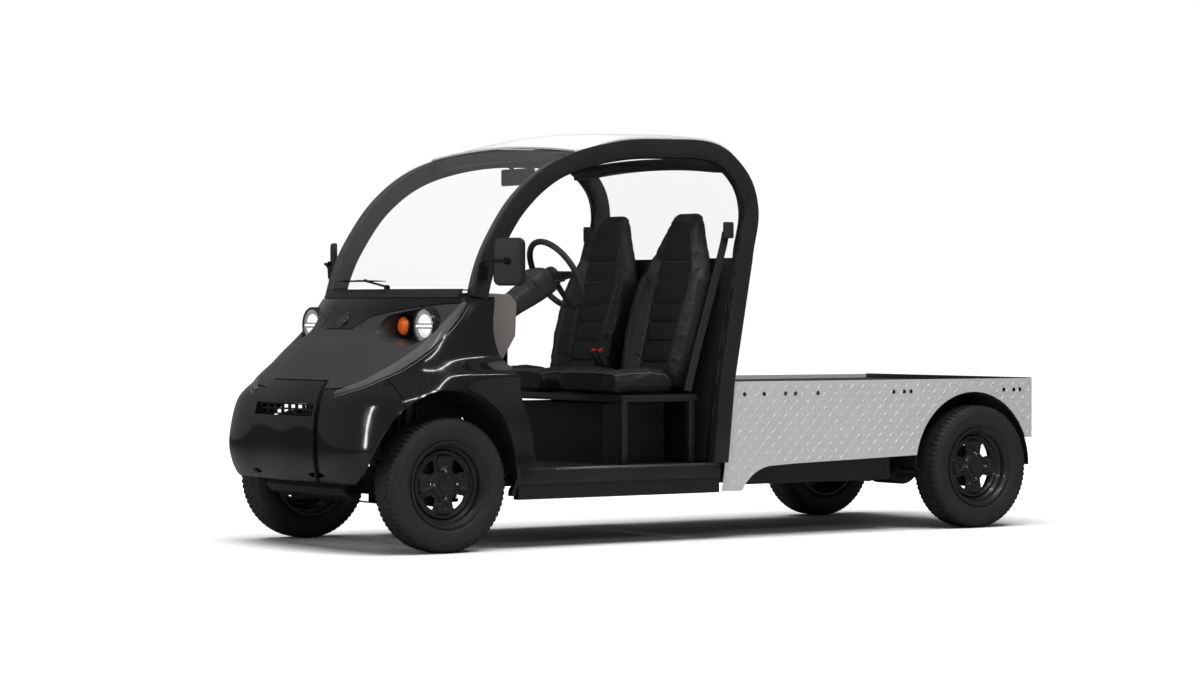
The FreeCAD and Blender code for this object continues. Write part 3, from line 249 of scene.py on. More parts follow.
for side in (1, -1):
    for column in range(columns):
        for row in range(rows):
            x = -0.045 - (column + 0.5) * PITCH
            z = 0.682 - (row + 0.5) * PITCH
            lean = math.radians(45 if (column + row) % 2 else -45)
            reach = Vector((math.cos(lean), 0, math.sin(lean))) * LOZENGE_LONG * 0.55
            ends = [Vector((x, side, z)) + reach, Vector((x, side, z)) - reach]
            landings = [side_skin.ray_cast(end, Vector((0, -side, 0)), 0.4)[0] for end in ends]
            if None in landings:
                continue
            start = len(relief.verts)
            relief.from_mesh(lozenge_mesh)
            relief.verts.ensure_lookup_table()
            placing = (Matrix.Translation((x, side * (PLATE_FACE + LOZENGE_HIGH * 0.3), z))
                       @ Matrix.Rotation(-lean, 4, "Y") @ Matrix.Rotation(math.radians(-90 * side), 4, "X"))
            bmesh.ops.transform(relief, matrix=placing, verts=relief.verts[start:])
plate_relief = piece_from(relief, "tread_plate_lozenges", bright_plate, "truck")
sharpen(plate_relief, 20)
bolts = bmesh.new()
for side in (1, -1):
    for x in (-0.153, -0.261, -0.381, -0.438, -0.565, -1.003, -1.065, -1.106, -1.667, -1.729, -1.766):
        add_to(bolts, turned(SCREW_HEAD, (0, side, 0), (x, side * PLATE_FACE, 0.637), 14))
piece_from(bolts, "bed_bolts", black_screw, "truck")

# ---------------------------------------------------------------- tyres
# Each tyre is a 165 section road tyre in black rubber: three grooves run round the tread, and short lugs
# run over both shoulders. The sidewall has two fine mould rings.
rubber = Finish("tyre rubber", (0.011, 0.011, 0.0115), 0.62)
rubber.set("Roughness", rubber.noise(30.0) * 0.2 + 0.5)
rubber.tint((0.02, 0.0198, 0.0195), rubber.noise(12.0))
rubber.bump(rubber.noise(600.0, 2.0), 0.00025)
LUGS = 72
HALF_TYRE = [(-0.0520, 0.1652), (-0.0590, 0.1702), (-0.0640, 0.1785), (-0.0662, 0.1862), (-0.0735, 0.1985),
             (-0.0755, 0.2000), (-0.0765, 0.2035), (-0.0805, 0.2150), (-0.0822, 0.2290), (-0.0816, 0.2415),
             (-0.0824, 0.2432), (-0.0812, 0.2462), (-0.0790, 0.2560), (-0.0752, 0.2655), (-0.0700, 0.2725),
             (-0.0620, 0.2768), (-0.0500, 0.2790), (-0.0420, 0.2796), (-0.0400, 0.2798), (-0.0220, 0.2803),
             (-0.0200, 0.2803), (-0.0020, 0.2805)]
tyre_profile = HALF_TYRE + [(-a, r) for a, r in reversed(HALF_TYRE)]
tyre_ring = turned(tyre_profile, (0, 1, 0), (0, 0, 0), LUGS * 2)


def ribs_between(low, high, every=1, skip=0):
    """Pick the tread faces whose middle lies between two widths, at every so many steps round."""
    chosen = []
    for face in tyre_ring.faces:
        middle = face.calc_center_median()
        radius = math.hypot(middle.x, middle.z)
        turn = int((math.atan2(middle.z, middle.x) % (2 * math.pi)) / (math.pi / LUGS))
        if low < abs(middle.y) < high and radius > 0.262 and (every == 1 or turn % every != skip):
            chosen.append(face)
    return chosen


def raise_ribs(faces, height):
    raised = bmesh.ops.extrude_face_region(tyre_ring, geom=faces)
    for vert in [item for item in raised["geom"] if isinstance(item, bmesh.types.BMVert)]:
        radius = math.hypot(vert.co.x, vert.co.z)
        vert.co.x *= (radius + height) / radius
        vert.co.z *= (radius + height) / radius


raise_ribs(ribs_between(0.0, 0.0200), 0.0034)
raise_ribs(ribs_between(0.0220, 0.0400, 4, 0), 0.0036)
raise_ribs(ribs_between(0.0420, 0.0790, 2, 0), 0.0040)
tyre_mesh = bpy.data.meshes.new("tyre")
tyre_ring.to_mesh(tyre_mesh)
tyre_ring.free()
CORNERS = [("front", "left"), ("front", "right"), ("rear", "left"), ("rear", "right")]
for end, word in CORNERS:
    low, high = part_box("%s_%s_tyre" % (end, word))
    maker = bmesh.new()
    maker.from_mesh(tyre_mesh)
    bmesh.ops.translate(maker, vec=(low + high) / 2, verts=maker.verts)
    name = "%s_%s_tyre" % (end, word)
    treaded = piece_from(maker, name + "_treaded", rubber, "%s_%s_road_wheel" % (end, word), [name])
    sharpen(treaded, 30)

# ---------------------------------------------------------------- road wheels
# Each wheel is a 13 inch pressed steel wheel in satin black enamel. Its disc has a raised cross, whose arms
# carry the wheel nuts, four windows between the arms, and a plastic centre cap.
enamel = Finish("satin black enamel", (0.009, 0.009, 0.0095), 0.3, coat=0.35)
enamel.set("Roughness", enamel.noise(25.0) * 0.12 + 0.26)
enamel.tint((0.016, 0.0158, 0.0155), enamel.noise(8.0))
enamel.bump(enamel.noise(500.0, 2.0), 0.00006)
nut_chrome = Finish("bright wheel nut", (0.7, 0.7, 0.71), 0.16, metallic=1.0)
nut_chrome.set("Roughness", nut_chrome.noise(200.0) * 0.12 + 0.1)
BARREL = [(-0.0740, 0.1830), (-0.0740, 0.1750), (-0.0660, 0.1680), (-0.0570, 0.1610), (-0.0230, 0.1610),
          (-0.0130, 0.1465), (0.0220, 0.1465), (0.0350, 0.1590), (0.0560, 0.1600), (0.0600, 0.1625),
          (0.0640, 0.1690), (0.0690, 0.1712), (0.0712, 0.1745), (0.0720, 0.1800), (0.0708, 0.1828),
          (0.0690, 0.1832), (0.0682, 0.1800), (0.0680, 0.1760), (0.0640, 0.1702), (0.0560, 0.1650),
          (0.0320, 0.1650), (0.0200, 0.1502), (-0.0120, 0.1502), (-0.0220, 0.1650), (-0.0560, 0.1650),
          (-0.0620, 0.1692), (-0.0700, 0.1760), (-0.0700, 0.1830), (-0.0740, 0.1830)]
DISC_FACE = 0.024
wheel_maker = turned(BARREL, (0, 1, 0), (0, 0, 0), 72)
disc = bmesh.new()
spoke = [disc.verts.new((0.0285 + 0.1195 * step / 44, DISC_FACE, 0)) for step in range(45)]
radial = [disc.edges.new(pair) for pair in zip(spoke, spoke[1:])]
bmesh.ops.spin(disc, geom=spoke + radial, cent=(0, 0, 0), axis=(0, 1, 0), angle=2 * math.pi,
               steps=192, use_merge=True)
bmesh.ops.remove_doubles(disc, verts=disc.verts, dist=1e-6)


def ramp(value, low, high):
    """Rise smoothly from 0 to 1 between two values."""
    share = min(max((value - low) / (high - low), 0.0), 1.0)
    return share * share * (3 - 2 * share)


def window_reach(radius, turn):
    """How far inside a window's edge a place on the disc lies."""
    offset = (math.degrees(turn) - 45) % 90
    offset = min(offset, 90 - offset)
    across = radius * math.sin(math.radians(offset))
    half = 0.0115 + (radius - 0.070) * 0.56
    return min(radius - 0.070, 0.117 - radius, half - across)


windows = [face for face in disc.faces
           if window_reach(math.hypot(face.calc_center_median().x, face.calc_center_median().z),
                           math.atan2(face.calc_center_median().z, face.calc_center_median().x)) > 0.0015]
bmesh.ops.delete(disc, geom=windows, context="FACES")
for vert in disc.verts:
    radius = math.hypot(vert.co.x, vert.co.z)
    turn = math.degrees(math.atan2(vert.co.z, vert.co.x)) % 90
    offset = min(turn, 90 - turn)
    across = radius * math.sin(math.radians(offset))
    arm = 0.0205 + 0.011 * ramp(radius, 0.078, 0.092)
    cross = 1 - ramp(across, arm, arm + 0.006)
    cross = max(cross, 1 - ramp(radius, 0.050, 0.058))
    height = 0.010 * cross * (1 - ramp(radius, 0.118, 0.126))
    channel = ramp(radius, 0.073, 0.078) * (1 - ramp(radius, 0.098, 0.103))
    height -= 0.005 * (1 - ramp(abs(across), 0.011, 0.015)) * channel
    height -= 0.0035 * ramp(radius, 0.0655, 0.069) * (1 - ramp(radius, 0.0685, 0.072)) * cross
    height += 0.006 * ramp(radius, 0.126, 0.132) - 0.014 * ramp(radius, 0.139, 0.147)
    vert.co.y += height
edge_loop = [vert for vert in disc.verts if vert.is_boundary and 0.06 < math.hypot(vert.co.x, vert.co.z) < 0.125]
for turn in range(4):
    bmesh.ops.smooth_vert(disc, verts=edge_loop, factor=0.5, use_axis_x=True, use_axis_y=True, use_axis_z=True)
bmesh.ops.recalc_face_normals(disc, faces=disc.faces)
bmesh.ops.solidify(disc, geom=list(disc.faces), thickness=0.003)
bmesh.ops.recalc_face_normals(disc, faces=disc.faces)
add_to(wheel_maker, disc)
CAP = [(DISC_FACE - 0.010, 0.0), (DISC_FACE - 0.010, 0.0300), (DISC_FACE + 0.012, 0.0300), (DISC_FACE + 0.0150, 0.0280),
       (DISC_FACE + 0.0155, 0.0235), (DISC_FACE + 0.0140, 0.0225), (DISC_FACE + 0.0146, 0.0)]
add_to(wheel_maker, turned(CAP, (0, 1, 0), (0, 0, 0), 48))
wheel_mesh = bpy.data.meshes.new("wheel")
wheel_maker.to_mesh(wheel_mesh)
wheel_maker.free()
nuts = bmesh.new()
for turn in range(4):
    around = math.radians(90 * turn)
    spot = Vector((0.05715 * math.cos(around), DISC_FACE + 0.006, 0.05715 * math.sin(around)))
    for profile, sides in (([(0, 0.0), (0, 0.0112), (0.003, 0.0112), (0.004, 0.0098), (0.004, 0.0)], 24),
                           ([(0.004, 0.0), (0.004, 0.0095), (0.0125, 0.0095), (0.0145, 0.0080), (0.0145, 0.0)], 6),
                           ([(0.0145, 0.0), (0.0145, 0.0070), (0.0185, 0.0060), (0.0200, 0.0035), (0.0205, 0.0)], 16)):
        add_to(nuts, turned(profile, (0, 1, 0), spot, sides))
nut_mesh = bpy.data.meshes.new("wheel nuts")
nuts.to_mesh(nut_mesh)
nuts.free()
for end, word in CORNERS:
    name = "%s_%s_wheel" % (end, word)
    low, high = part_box("%s_%s_tyre" % (end, word))
    facing = Matrix.Rotation(0.0 if word == "left" else math.pi, 4, "Z")
    for source, finish, label, slot in ((wheel_mesh, enamel, name + "_pressed", "wheel_steel"),
                                        (nut_mesh, nut_chrome, name + "_nuts", "wheel_steel")):
        maker = bmesh.new()
        maker.from_mesh(source)
        bmesh.ops.transform(maker, matrix=Matrix.Translation((low + high) / 2) @ facing, verts=maker.verts)
        made = piece_from(maker, label, finish, "%s_%s_road_wheel" % (end, word),
                          [name] if source is wheel_mesh else ())
        sharpen(made, 40)

# ---------------------------------------------------------------- plain panels and cab frame
# The cowl, cab back and floor are black moulded plastic with a fine grain. The hoops, ladder frame, sills and
# seat rails are steel in satin black powder coat, with rounded edges where the tube is bent.
black_plastic = Finish("black grained plastic", (0.0085, 0.0085, 0.009), 0.46)
black_plastic.set("Roughness", black_plastic.noise(18.0) * 0.12 + 0.4)
black_plastic.tint((0.013, 0.013, 0.0135), black_plastic.noise(5.0))
black_plastic.bump(black_plastic.noise(1400.0, 1.0), 0.00012)
dress(black_plastic, "front_grille", "cowl_top", "front_valance", "arch_liners", "sill_skirts", "seat_box",
      "wiper", "interior_mirror", "pedals", "floor_pan", "bed_deck", "bed_rear_panel")
powder_coat = Finish("satin black powder coat", (0.009, 0.009, 0.0096), 0.3, coat=0.3)
powder_coat.set("Roughness", powder_coat.noise(40.0) * 0.1 + 0.26)
powder_coat.tint((0.015, 0.015, 0.0155), powder_coat.noise(6.0))
powder_coat.bump(powder_coat.noise(420.0, 1.0), 0.00008)
dress(powder_coat, "chassis_frame", "rear_axle", "front_suspension", "left_knuckle", "right_knuckle", "tie_rod",
      "battery_box")


def softened(name, radius, finish, degrees=28.0):
    """Stand a copy of a CAD node in for it, with its sharp edges rounded."""
    maker = bmesh.new()
    maker.from_mesh(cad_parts[name].data)
    bmesh.ops.remove_doubles(maker, verts=maker.verts, dist=1e-5)
    bmesh.ops.dissolve_limit(maker, angle_limit=math.radians(0.4), verts=maker.verts, edges=maker.edges)
    crisp = [edge for edge in maker.edges
             if len(edge.link_faces) == 2 and edge.calc_face_angle() > math.radians(degrees)]
    bmesh.ops.bevel(maker, geom=crisp, offset=radius, affect="EDGES", segments=3, profile=0.5, material=-1,
                    clamp_overlap=True)
    bmesh.ops.triangulate(maker, faces=maker.faces)
    made = piece_from(maker, name + "_rounded", finish, "truck", [name])
    return sharpen(made, 32)


softened("side_hoops", 0.009, powder_coat)
softened("roof_crossbars", 0.006, powder_coat)
softened("seat_frame", 0.004, powder_coat)
softened("door_sills", 0.005, powder_coat)
softened("back_wall", 0.008, black_plastic)

# ---------------------------------------------------------------- hoop seals
# A soft rubber bulb seal is pressed along the inner face of each hoop, in two runs side by side.
seal_rubber = Finish("seal rubber", (0.006, 0.006, 0.006), 0.6)
seal_rubber.set("Roughness", seal_rubber.noise(50.0) * 0.15 + 0.5)
hoop_skin = skin_tree("side_hoops")


def loft(rings):
    """Skin closed rings of like points, one after the other, and cap both ends."""
    maker = bmesh.new()
    face = maker.faces.new([maker.verts.new(point) for point in rings[0]])
    for ring in rings[1:]:
        grown = bmesh.ops.extrude_face_region(maker, geom=[face])
        face = [item for item in grown["geom"] if isinstance(item, bmesh.types.BMFace)][0]
        for vert, point in zip(face.verts, ring):
            vert.co = point
    bmesh.ops.recalc_face_normals(maker, faces=maker.faces)
    return maker


def rod_along(points, radius, sides=8, reference=(0.0, 1.0, 0.0)):
    """A round rod that follows a line of points."""
    rings = []
    for index, point in enumerate(points):
        run = (points[min(index + 1, len(points) - 1)] - points[max(index - 1, 0)]).normalized()
        across = run.cross(Vector(reference)).normalized()
        over = run.cross(across)
        rings.append([point + (across * math.cos(2 * math.pi * k / sides) + over * math.sin(2 * math.pi * k / sides))
                      * radius for k in range(sides)])
    return loft(rings)


seals = bmesh.new()
for side in (1, -1):
    for inset in (0.016, 0.034):
        runs = [[]]
        for step in range(90):
            angle = math.radians(-2.0 + 252.0 * step / 89)
            direction = Vector((math.cos(angle), 0, math.sin(angle)))
            start = Vector((0.45, side * (0.617 - inset), 1.16))
            hit, facing, index, gap = hoop_skin.ray_cast(start, direction)
            if hit is None or hit.x > 1.17:
                continue
            start.y = side * (0.617 - inset - max(hit.z - 1.073, 0.0) * 0.04)
            hit, facing, index, gap = hoop_skin.ray_cast(start, direction)
            if hit is None:
                continue
            landing = hit - direction * 0.001
            if runs[-1] and (landing - runs[-1][-1]).length > 0.12:
                runs.append([])
            runs[-1].append(landing)
        for line in runs:
            if len(line) > 4:
                add_to(seals, rod_along(line, 0.0055))
piece_from(seals, "hoop_seals", seal_rubber, "truck")

# ---------------------------------------------------------------- sill trims
# A bright aluminium strip is screwed along the top outer edge of each sill, where feet would chip the coating.
edge_metal = Finish("worn aluminium strip", (0.32, 0.32, 0.325), 0.34, metallic=0.9)
edge_metal.set("Roughness", edge_metal.noise(60.0) * 0.2 + 0.28)
edge_metal.tint((0.2, 0.2, 0.2), edge_metal.noise(25.0))
trims = bmesh.new()
sill_low, sill_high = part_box("door_sills")
for side in (1, -1):
    outline = [(0.0, 0.0), (0.0015, -0.001), (0.0015, -0.010), (-0.001, -0.010), (-0.001, -0.002), (-0.016, -0.002),
               (-0.016, 0.0012), (-0.001, 0.0012)]
    ends = [[Vector((x, side * (sill_high.y + a), sill_high.z + b)) for a, b in outline]
            for x in (sill_low.x + 0.02, sill_high.x - 0.19)]
    add_to(trims, loft(ends))
piece_from(trims, "sill_edge_strips", edge_metal, "truck")

# ---------------------------------------------------------------- hood shoulder moulding
# A double-bevelled moulding follows the joint between hood and fenders, widest at mid height, and ends in a
# bright tip at each windshield post. A hair-thin bright bead marks the fender's own edge.
moulding_grey = Finish("moulding paint", (0.06, 0.06, 0.062), 0.3, coat=0.4)
moulding_grey.set("Roughness", moulding_grey.noise(20.0) * 0.08 + 0.26)
CRESCENT = [(1.807, 0.350, 0.672), (1.725, 0.471, 0.696), (1.638, 0.532, 0.740), (1.540, 0.585, 0.802),
            (1.452, 0.603, 0.862), (1.378, 0.602, 0.922), (1.325, 0.612, 0.982), (1.283, 0.614, 1.040)]


def smooth_line(corners, count):
    """Points evenly along a smooth curve through corners."""
    chosen = []
    last = len(corners) - 1
    for step in range(count):
        place = last * step / (count - 1)
        index = min(int(place), last - 1)
        share = place - index
        before, start = Vector(corners[max(index - 1, 0)]), Vector(corners[index])
        end, after = Vector(corners[index + 1]), Vector(corners[min(index + 2, last)])
        chosen.append(0.5 * ((2 * start) + (end - before) * share
                             + (2 * before - 5 * start + 4 * end - after) * share ** 2
                             + (3 * start - before - 3 * end + after) * share ** 3))
    return chosen


mouldings = bmesh.new()
beads = bmesh.new()
for side in (1, -1):
    line = [Vector((p.x, side * p.y, p.z)) for p in smooth_line(CRESCENT, 48)]
    rings = []
    bead = []
    for index, point in enumerate(line):
        run = (line[min(index + 1, 47)] - line[max(index - 1, 0)]).normalized()
        here, facing = nose_skin.find_nearest(point)[:2]
        if facing.y * side < 0 and abs(facing.y) > 0.3 or facing.x < -0.2:
            facing = -facing
        upward = facing.cross(run).normalized()
        if upward.z < 0:
            upward = -upward
        wide = 0.010 + 0.050 * math.sin(math.pi * (0.08 + 0.86 * index / 47)) ** 0.8
        ring = []
        for reach, lift in ((0.004, -0.002), (0.006, 0.0006), (wide * 0.46, 0.006), (wide * 0.54, 0.006),
                            (wide, 0.0005), (wide, -0.003)):
            spot = nose_skin.find_nearest(here + upward * reach)[0]
            ring.append(spot + facing * lift)
        rings.append(ring)
        bead.append(nose_skin.find_nearest(here - upward * 0.006)[0] + facing * 0.0004)
    add_to(mouldings, loft(rings))
    add_to(beads, rod_along(bead, 0.0014, 6))
sharpen(piece_from(mouldings, "hood_mouldings", moulding_grey, "truck"), 25)
bead_finish = Finish("bright edge bead", (0.16, 0.16, 0.165), 0.2, coat=0.6)
bead_finish.set("Roughness", bead_finish.noise(80.0) * 0.1 + 0.15)
piece_from(beads, "fender_beads", bead_finish, "truck")

# ---------------------------------------------------------------- brow fittings
# The brow's middle is a shallow raised field with a moulded line on each side. A plain round boss sits on its
# lower edge.
ribs = bmesh.new()
for side in (1, -1):
    line = []
    for step in range(14):
        share = step / 13
        guess = Vector((1.56 - 0.09 * share, side * (0.168 - 0.035 * share), 0.945 + 0.105 * share))
        spot, normal, index, gap = nose_skin.find_nearest(guess)
        line.append(spot + Vector((0.0005, 0, 0.0003)))
    add_to(ribs, rod_along(line, 0.002, 8))
piece_from(ribs, "brow_ribs", gloss_black, "truck")
spot, normal, index, gap = nose_skin.find_nearest(Vector((1.53, 0.0, 0.967)))
outward = normal if normal.x > 0 else -normal
BOSS = [(-0.004, 0.0), (-0.004, 0.0375), (0.004, 0.0375), (0.0075, 0.0350), (0.0075, 0.0305), (0.0045, 0.0285),
        (0.0045, 0.0240), (0.0058, 0.0220), (0.0062, 0.0)]
boss_black = Finish("boss black", (0.02, 0.02, 0.021), 0.22, coat=0.6)
boss_black.set("Roughness", boss_black.noise(80.0) * 0.1 + 0.18)
sharpen(piece_from(turned(BOSS, outward, spot, 48), "front_boss", boss_black, "truck"), 30)

# ---------------------------------------------------------------- dashboard, column and steering wheel
# The dashboard is moulded brown-grey plastic. The column has a two-part near-black shroud with an instrument
# hood, and the wheel is a soft black rim on three spokes with a padded boss.
brown_grey = Finish("brown grey plastic", (0.115, 0.105, 0.101), 0.5)
brown_grey.set("Roughness", brown_grey.noise(20.0) * 0.1 + 0.44)
brown_grey.tint((0.135, 0.125, 0.12), brown_grey.noise(4.0))
brown_grey.bump(brown_grey.noise(1100.0, 1.0), 0.00015)
softened("dashboard", 0.012, brown_grey)
soft_black = Finish("soft black plastic", (0.018, 0.0177, 0.018), 0.46)
soft_black.set("Roughness", soft_black.noise(20.0) * 0.1 + 0.4)
soft_black.tint((0.026, 0.0255, 0.0255), soft_black.noise(5.0))
soft_black.bump(soft_black.noise(1000.0, 1.0), 0.00012)
HUB = Vector((0.632, 0.287, 1.165))
DOWN_COLUMN = Vector((math.cos(math.radians(30)), 0, -math.sin(math.radians(30))))
COLUMN_SIDE = Vector((0, 1, 0))
COLUMN_TOP = DOWN_COLUMN.cross(COLUMN_SIDE) * -1
if COLUMN_TOP.z < 0:
    COLUMN_TOP = -COLUMN_TOP


def rounded_ring(centre, wide, high, lift, sides=24, square=3.2):
    """One rounded-square ring across the column, with its middle lifted."""
    ring = []
    for k in range(sides):
        turn = 2 * math.pi * k / sides
        a, b = math.cos(turn), math.sin(turn)
        size = (abs(a) ** square + abs(b) ** square) ** (-1 / square)
        ring.append(centre + COLUMN_SIDE * (a * size * wide / 2) + COLUMN_TOP * (b * size * high / 2 + lift))
    return ring


shroud = loft([rounded_ring(HUB + DOWN_COLUMN * along, wide, high, lift) for along, wide, high, lift in (
    (0.040, 0.060, 0.060, 0.0), (0.046, 0.110, 0.100, 0.002), (0.062, 0.142, 0.122, 0.008), (0.10, 0.152, 0.138, 0.014),
    (0.150, 0.150, 0.136, 0.014), (0.158, 0.138, 0.124, 0.008), (0.185, 0.124, 0.108, 0.0), (0.25, 0.114, 0.098, 0.0),
    (0.33, 0.112, 0.096, 0.0), (0.385, 0.118, 0.104, 0.0), (0.39, 0.09, 0.08, 0.0))])
for side in (1, -1):
    stalk = [HUB + DOWN_COLUMN * 0.075 + COLUMN_SIDE * side * (0.05 + 0.09 * k / 6) - DOWN_COLUMN * 0.02 * k / 6
             for k in range(7)]
    add_to(shroud, rod_along(stalk, 0.0055, 10, (1, 0, 0)))
sharpen(piece_from(shroud, "column_shroud", soft_black, "truck", ["steering_column"]), 35)
grip = [(0.0135 * math.cos(2 * math.pi * k / 16), 0.1625 + 0.0135 * math.sin(2 * math.pi * k / 16)) for k in range(17)]
wheel_rim = turned(grip, DOWN_COLUMN, HUB, 72)
add_to(wheel_rim, turned([(-0.002, 0.0), (-0.002, 0.030), (0.004, 0.042), (0.016, 0.046), (0.030, 0.044), (0.034, 0.030),
                          (0.034, 0.0)], DOWN_COLUMN, HUB, 40))
for turn in (0, 180, 270):
    out = COLUMN_SIDE * math.cos(math.radians(turn)) + COLUMN_TOP * math.sin(math.radians(turn))
    across = DOWN_COLUMN.cross(out)
    rings = []
    for share in (0.0, 0.25, 0.5, 0.75, 1.0):
        middle = HUB + out * (0.030 + 0.126 * share) + DOWN_COLUMN * (0.016 * (1 - share) + 0.002)
        wide = 0.026 - 0.012 * share
        rings.append([middle + across * wide * math.cos(2 * math.pi * k / 12)
                      + DOWN_COLUMN * 0.009 * math.sin(2 * math.pi * k / 12) for k in range(12)])
    add_to(wheel_rim, loft(rings))
piece_from(wheel_rim, "steering_wheel_grip", soft_black, "steering", ["steering_wheel"])

# ---------------------------------------------------------------- glass and roof
# The windshield and rear window are clear polycarbonate; the roof is one white gloss moulding.
clear = Finish("clear sheet", (0.3, 0.31, 0.31), 0.02, alpha=0.05)
clear.set("Roughness", clear.noise(4.0) * 0.02 + 0.01)
dress(clear, "windshield", "rear_window")
white_gloss = Finish("white gloss plastic", (0.78, 0.78, 0.78), 0.25, coat=0.5)
white_gloss.set("Roughness", white_gloss.noise(10.0) * 0.1 + 0.2)
white_gloss.tint((0.72, 0.72, 0.715), white_gloss.noise(3.0))
dress(white_gloss, "roof_panel")

# ---------------------------------------------------------------- seat backs
# Each high-backed bucket seat is moulded foam in stitched black vinyl. Deep bolsters stand forward of a
# quilted middle, whose rows are sewn down, and grey thread shows along the seams.
vinyl = Finish("stitched black vinyl", (0.0095, 0.0095, 0.0103), 0.36)
creases = vinyl.node("ShaderNodeTexVoronoi", {"feature": "DISTANCE_TO_EDGE"}, {"Vector": vinyl.place, "Scale": 520.0})
vinyl.set("Roughness", vinyl.noise(16.0) * 0.14 + 0.36)
vinyl.tint((0.015, 0.015, 0.016), vinyl.noise(7.0))
vinyl.bump(creases * 0.6 + vinyl.noise(1500.0, 1.0) * 0.4, 0.00025)
thread = Finish("grey thread", (0.14, 0.14, 0.145), 0.6)
strand = thread.node("ShaderNodeTexWave", {"bands_direction": "DIAGONAL"}, {"Vector": thread.place, "Scale": 400.0})
thread.tint((0.07, 0.07, 0.07), strand)
SEAT_CENTRE = 0.287
# Each row is height, front of the middle, front of the bolsters, rear, and half width.
BACK_ROWS = [(0.668, 0.108, 0.140, 0.040, 0.190), (0.73, 0.104, 0.156, 0.026, 0.212), (0.80, 0.086, 0.144, 0.010, 0.224),
             (0.90, 0.060, 0.122, -0.012, 0.230), (1.00, 0.032, 0.092, -0.040, 0.232), (1.08, 0.010, 0.064, -0.056, 0.232),
             (1.143, -0.006, 0.038, -0.068, 0.228), (1.20, -0.018, 0.012, -0.078, 0.206), (1.25, -0.026, -0.006, -0.088, 0.180),
             (1.30, -0.034, -0.022, -0.096, 0.150), (1.36, -0.044, -0.038, -0.102, 0.122), (1.41, -0.053, -0.051, -0.106, 0.104),
             (1.436, -0.061, -0.061, -0.106, 0.088), (1.450, -0.070, -0.070, -0.102, 0.060)]
ACROSS = [(-1.0, 0.0, 0.5), (-0.96, 1.0, 0.85), (-0.86, 1.0, 1.0), (-0.74, 0.82, 1.0), (-0.62, 0.3, 1.0), (-0.52, 0.0, 1.0),
          (-0.25, -0.05, 1.0), (0.0, -0.06, 1.0), (0.25, -0.05, 1.0), (0.52, 0.0, 1.0), (0.62, 0.3, 1.0), (0.74, 0.82, 1.0),
          (0.86, 1.0, 1.0), (0.96, 1.0, 0.85), (1.0, 0.0, 0.5)]
BEHIND = [0.94, 0.7, 0.3, -0.3, -0.7, -0.94]


def padded_ring(place, low, middle, bolster, half):
    """One ring round a pad: its bolstered face first, then its flat back."""
    ring = []
    for share, rise, forward in ACROSS:
        face = middle + (bolster - middle) * rise
        ring.append(place(share * half, low + (face - low) * forward))
    return ring + [place(share * half, low) for share in BEHIND]


def puffed(maker, name, cap, voxel=0.006):
    """Fill a blank like foam under vinyl, by a short cloth simulation, and return it as a fine mesh."""
    mesh = bpy.data.meshes.new(name + "_blank")
    maker.to_mesh(mesh)
    maker.free()
    blank = bpy.data.objects.new(name + "_blank", mesh)
    bpy.context.scene.collection.objects.link(blank)
    remesh = blank.modifiers.new("even", "REMESH")
    remesh.mode = "VOXEL"
    remesh.voxel_size = voxel
    bpy.context.view_layer.update()
    even = bpy.data.meshes.new_from_object(blank.evaluated_get(bpy.context.evaluated_depsgraph_get()))
    blank.modifiers.clear()
    blank.data = even
    start = np.empty(len(even.vertices) * 3)
    even.vertices.foreach_get("co", start)
    start = start.reshape(-1, 3)
    cloth = blank.modifiers.new("stuffing", "CLOTH")
    cloth.settings.use_pressure = True
    cloth.settings.uniform_pressure_force = 4.0
    cloth.settings.effector_weights.gravity = 0.0
    cloth.settings.quality = 4
    cloth.point_cache.frame_start = 1
    cloth.point_cache.frame_end = 20
    for moment in range(1, 21):
        bpy.context.scene.frame_set(moment)
    swollen = bpy.data.meshes.new_from_object(blank.evaluated_get(bpy.context.evaluated_depsgraph_get()))
    blank.modifiers.clear()
    bpy.context.scene.frame_set(1)
    end = np.empty(len(swollen.vertices) * 3)
    swollen.vertices.foreach_get("co", end)
    move = end.reshape(-1, 3) - start
    far = np.linalg.norm(move, axis=1, keepdims=True)
    move *= np.minimum(1.0, cap / np.maximum(far, 1e-9))
    swollen.vertices.foreach_set("co", (start + move).ravel())
    blank.data = swollen
    subdivide = blank.modifiers.new("fine", "SUBSURF")
    subdivide.levels = 1
    subdivide.render_levels = 1
    bpy.context.view_layer.update()
    fine = bpy.data.meshes.new_from_object(blank.evaluated_get(bpy.context.evaluated_depsgraph_get()))
    bpy.data.objects.remove(blank)
    return fine


def sew(mesh, seams, axes, facing, depth, width, puff):
    """Press seams into a pad and let the vinyl crown between them. Seams are lines in two of its axes."""
    count = len(mesh.vertices)
    places = np.empty(count * 3)
    normals = np.empty(count * 3)
    mesh.vertices.foreach_get("co", places)
    mesh.vertex_normals.foreach_get("vector", normals)
    places = places.reshape(-1, 3)
    normals = normals.reshape(-1, 3)
    flat = places[:, axes]
    nearest = np.full(count, 1.0)
    for seam in seams:
        for first, second in zip(seam, seam[1:]):
            first = np.array(first)
            run = np.array(second) - first
            share = np.clip(((flat - first) @ run) / (run @ run), 0.0, 1.0)
            gap = np.linalg.norm(flat - first - share[:, None] * run, axis=1)
            nearest = np.minimum(nearest, gap)
    shown = np.clip((normals[:, facing] - 0.1) / 0.4, 0.0, 1.0)
    height = puff * (1 - np.exp(-(nearest / 0.022) ** 2)) * (nearest < 0.12) - depth * np.exp(-(nearest / width) ** 2)
    mesh.vertices.foreach_set("co", (places + normals * (shown * height)[:, None]).ravel())
    mesh.update()


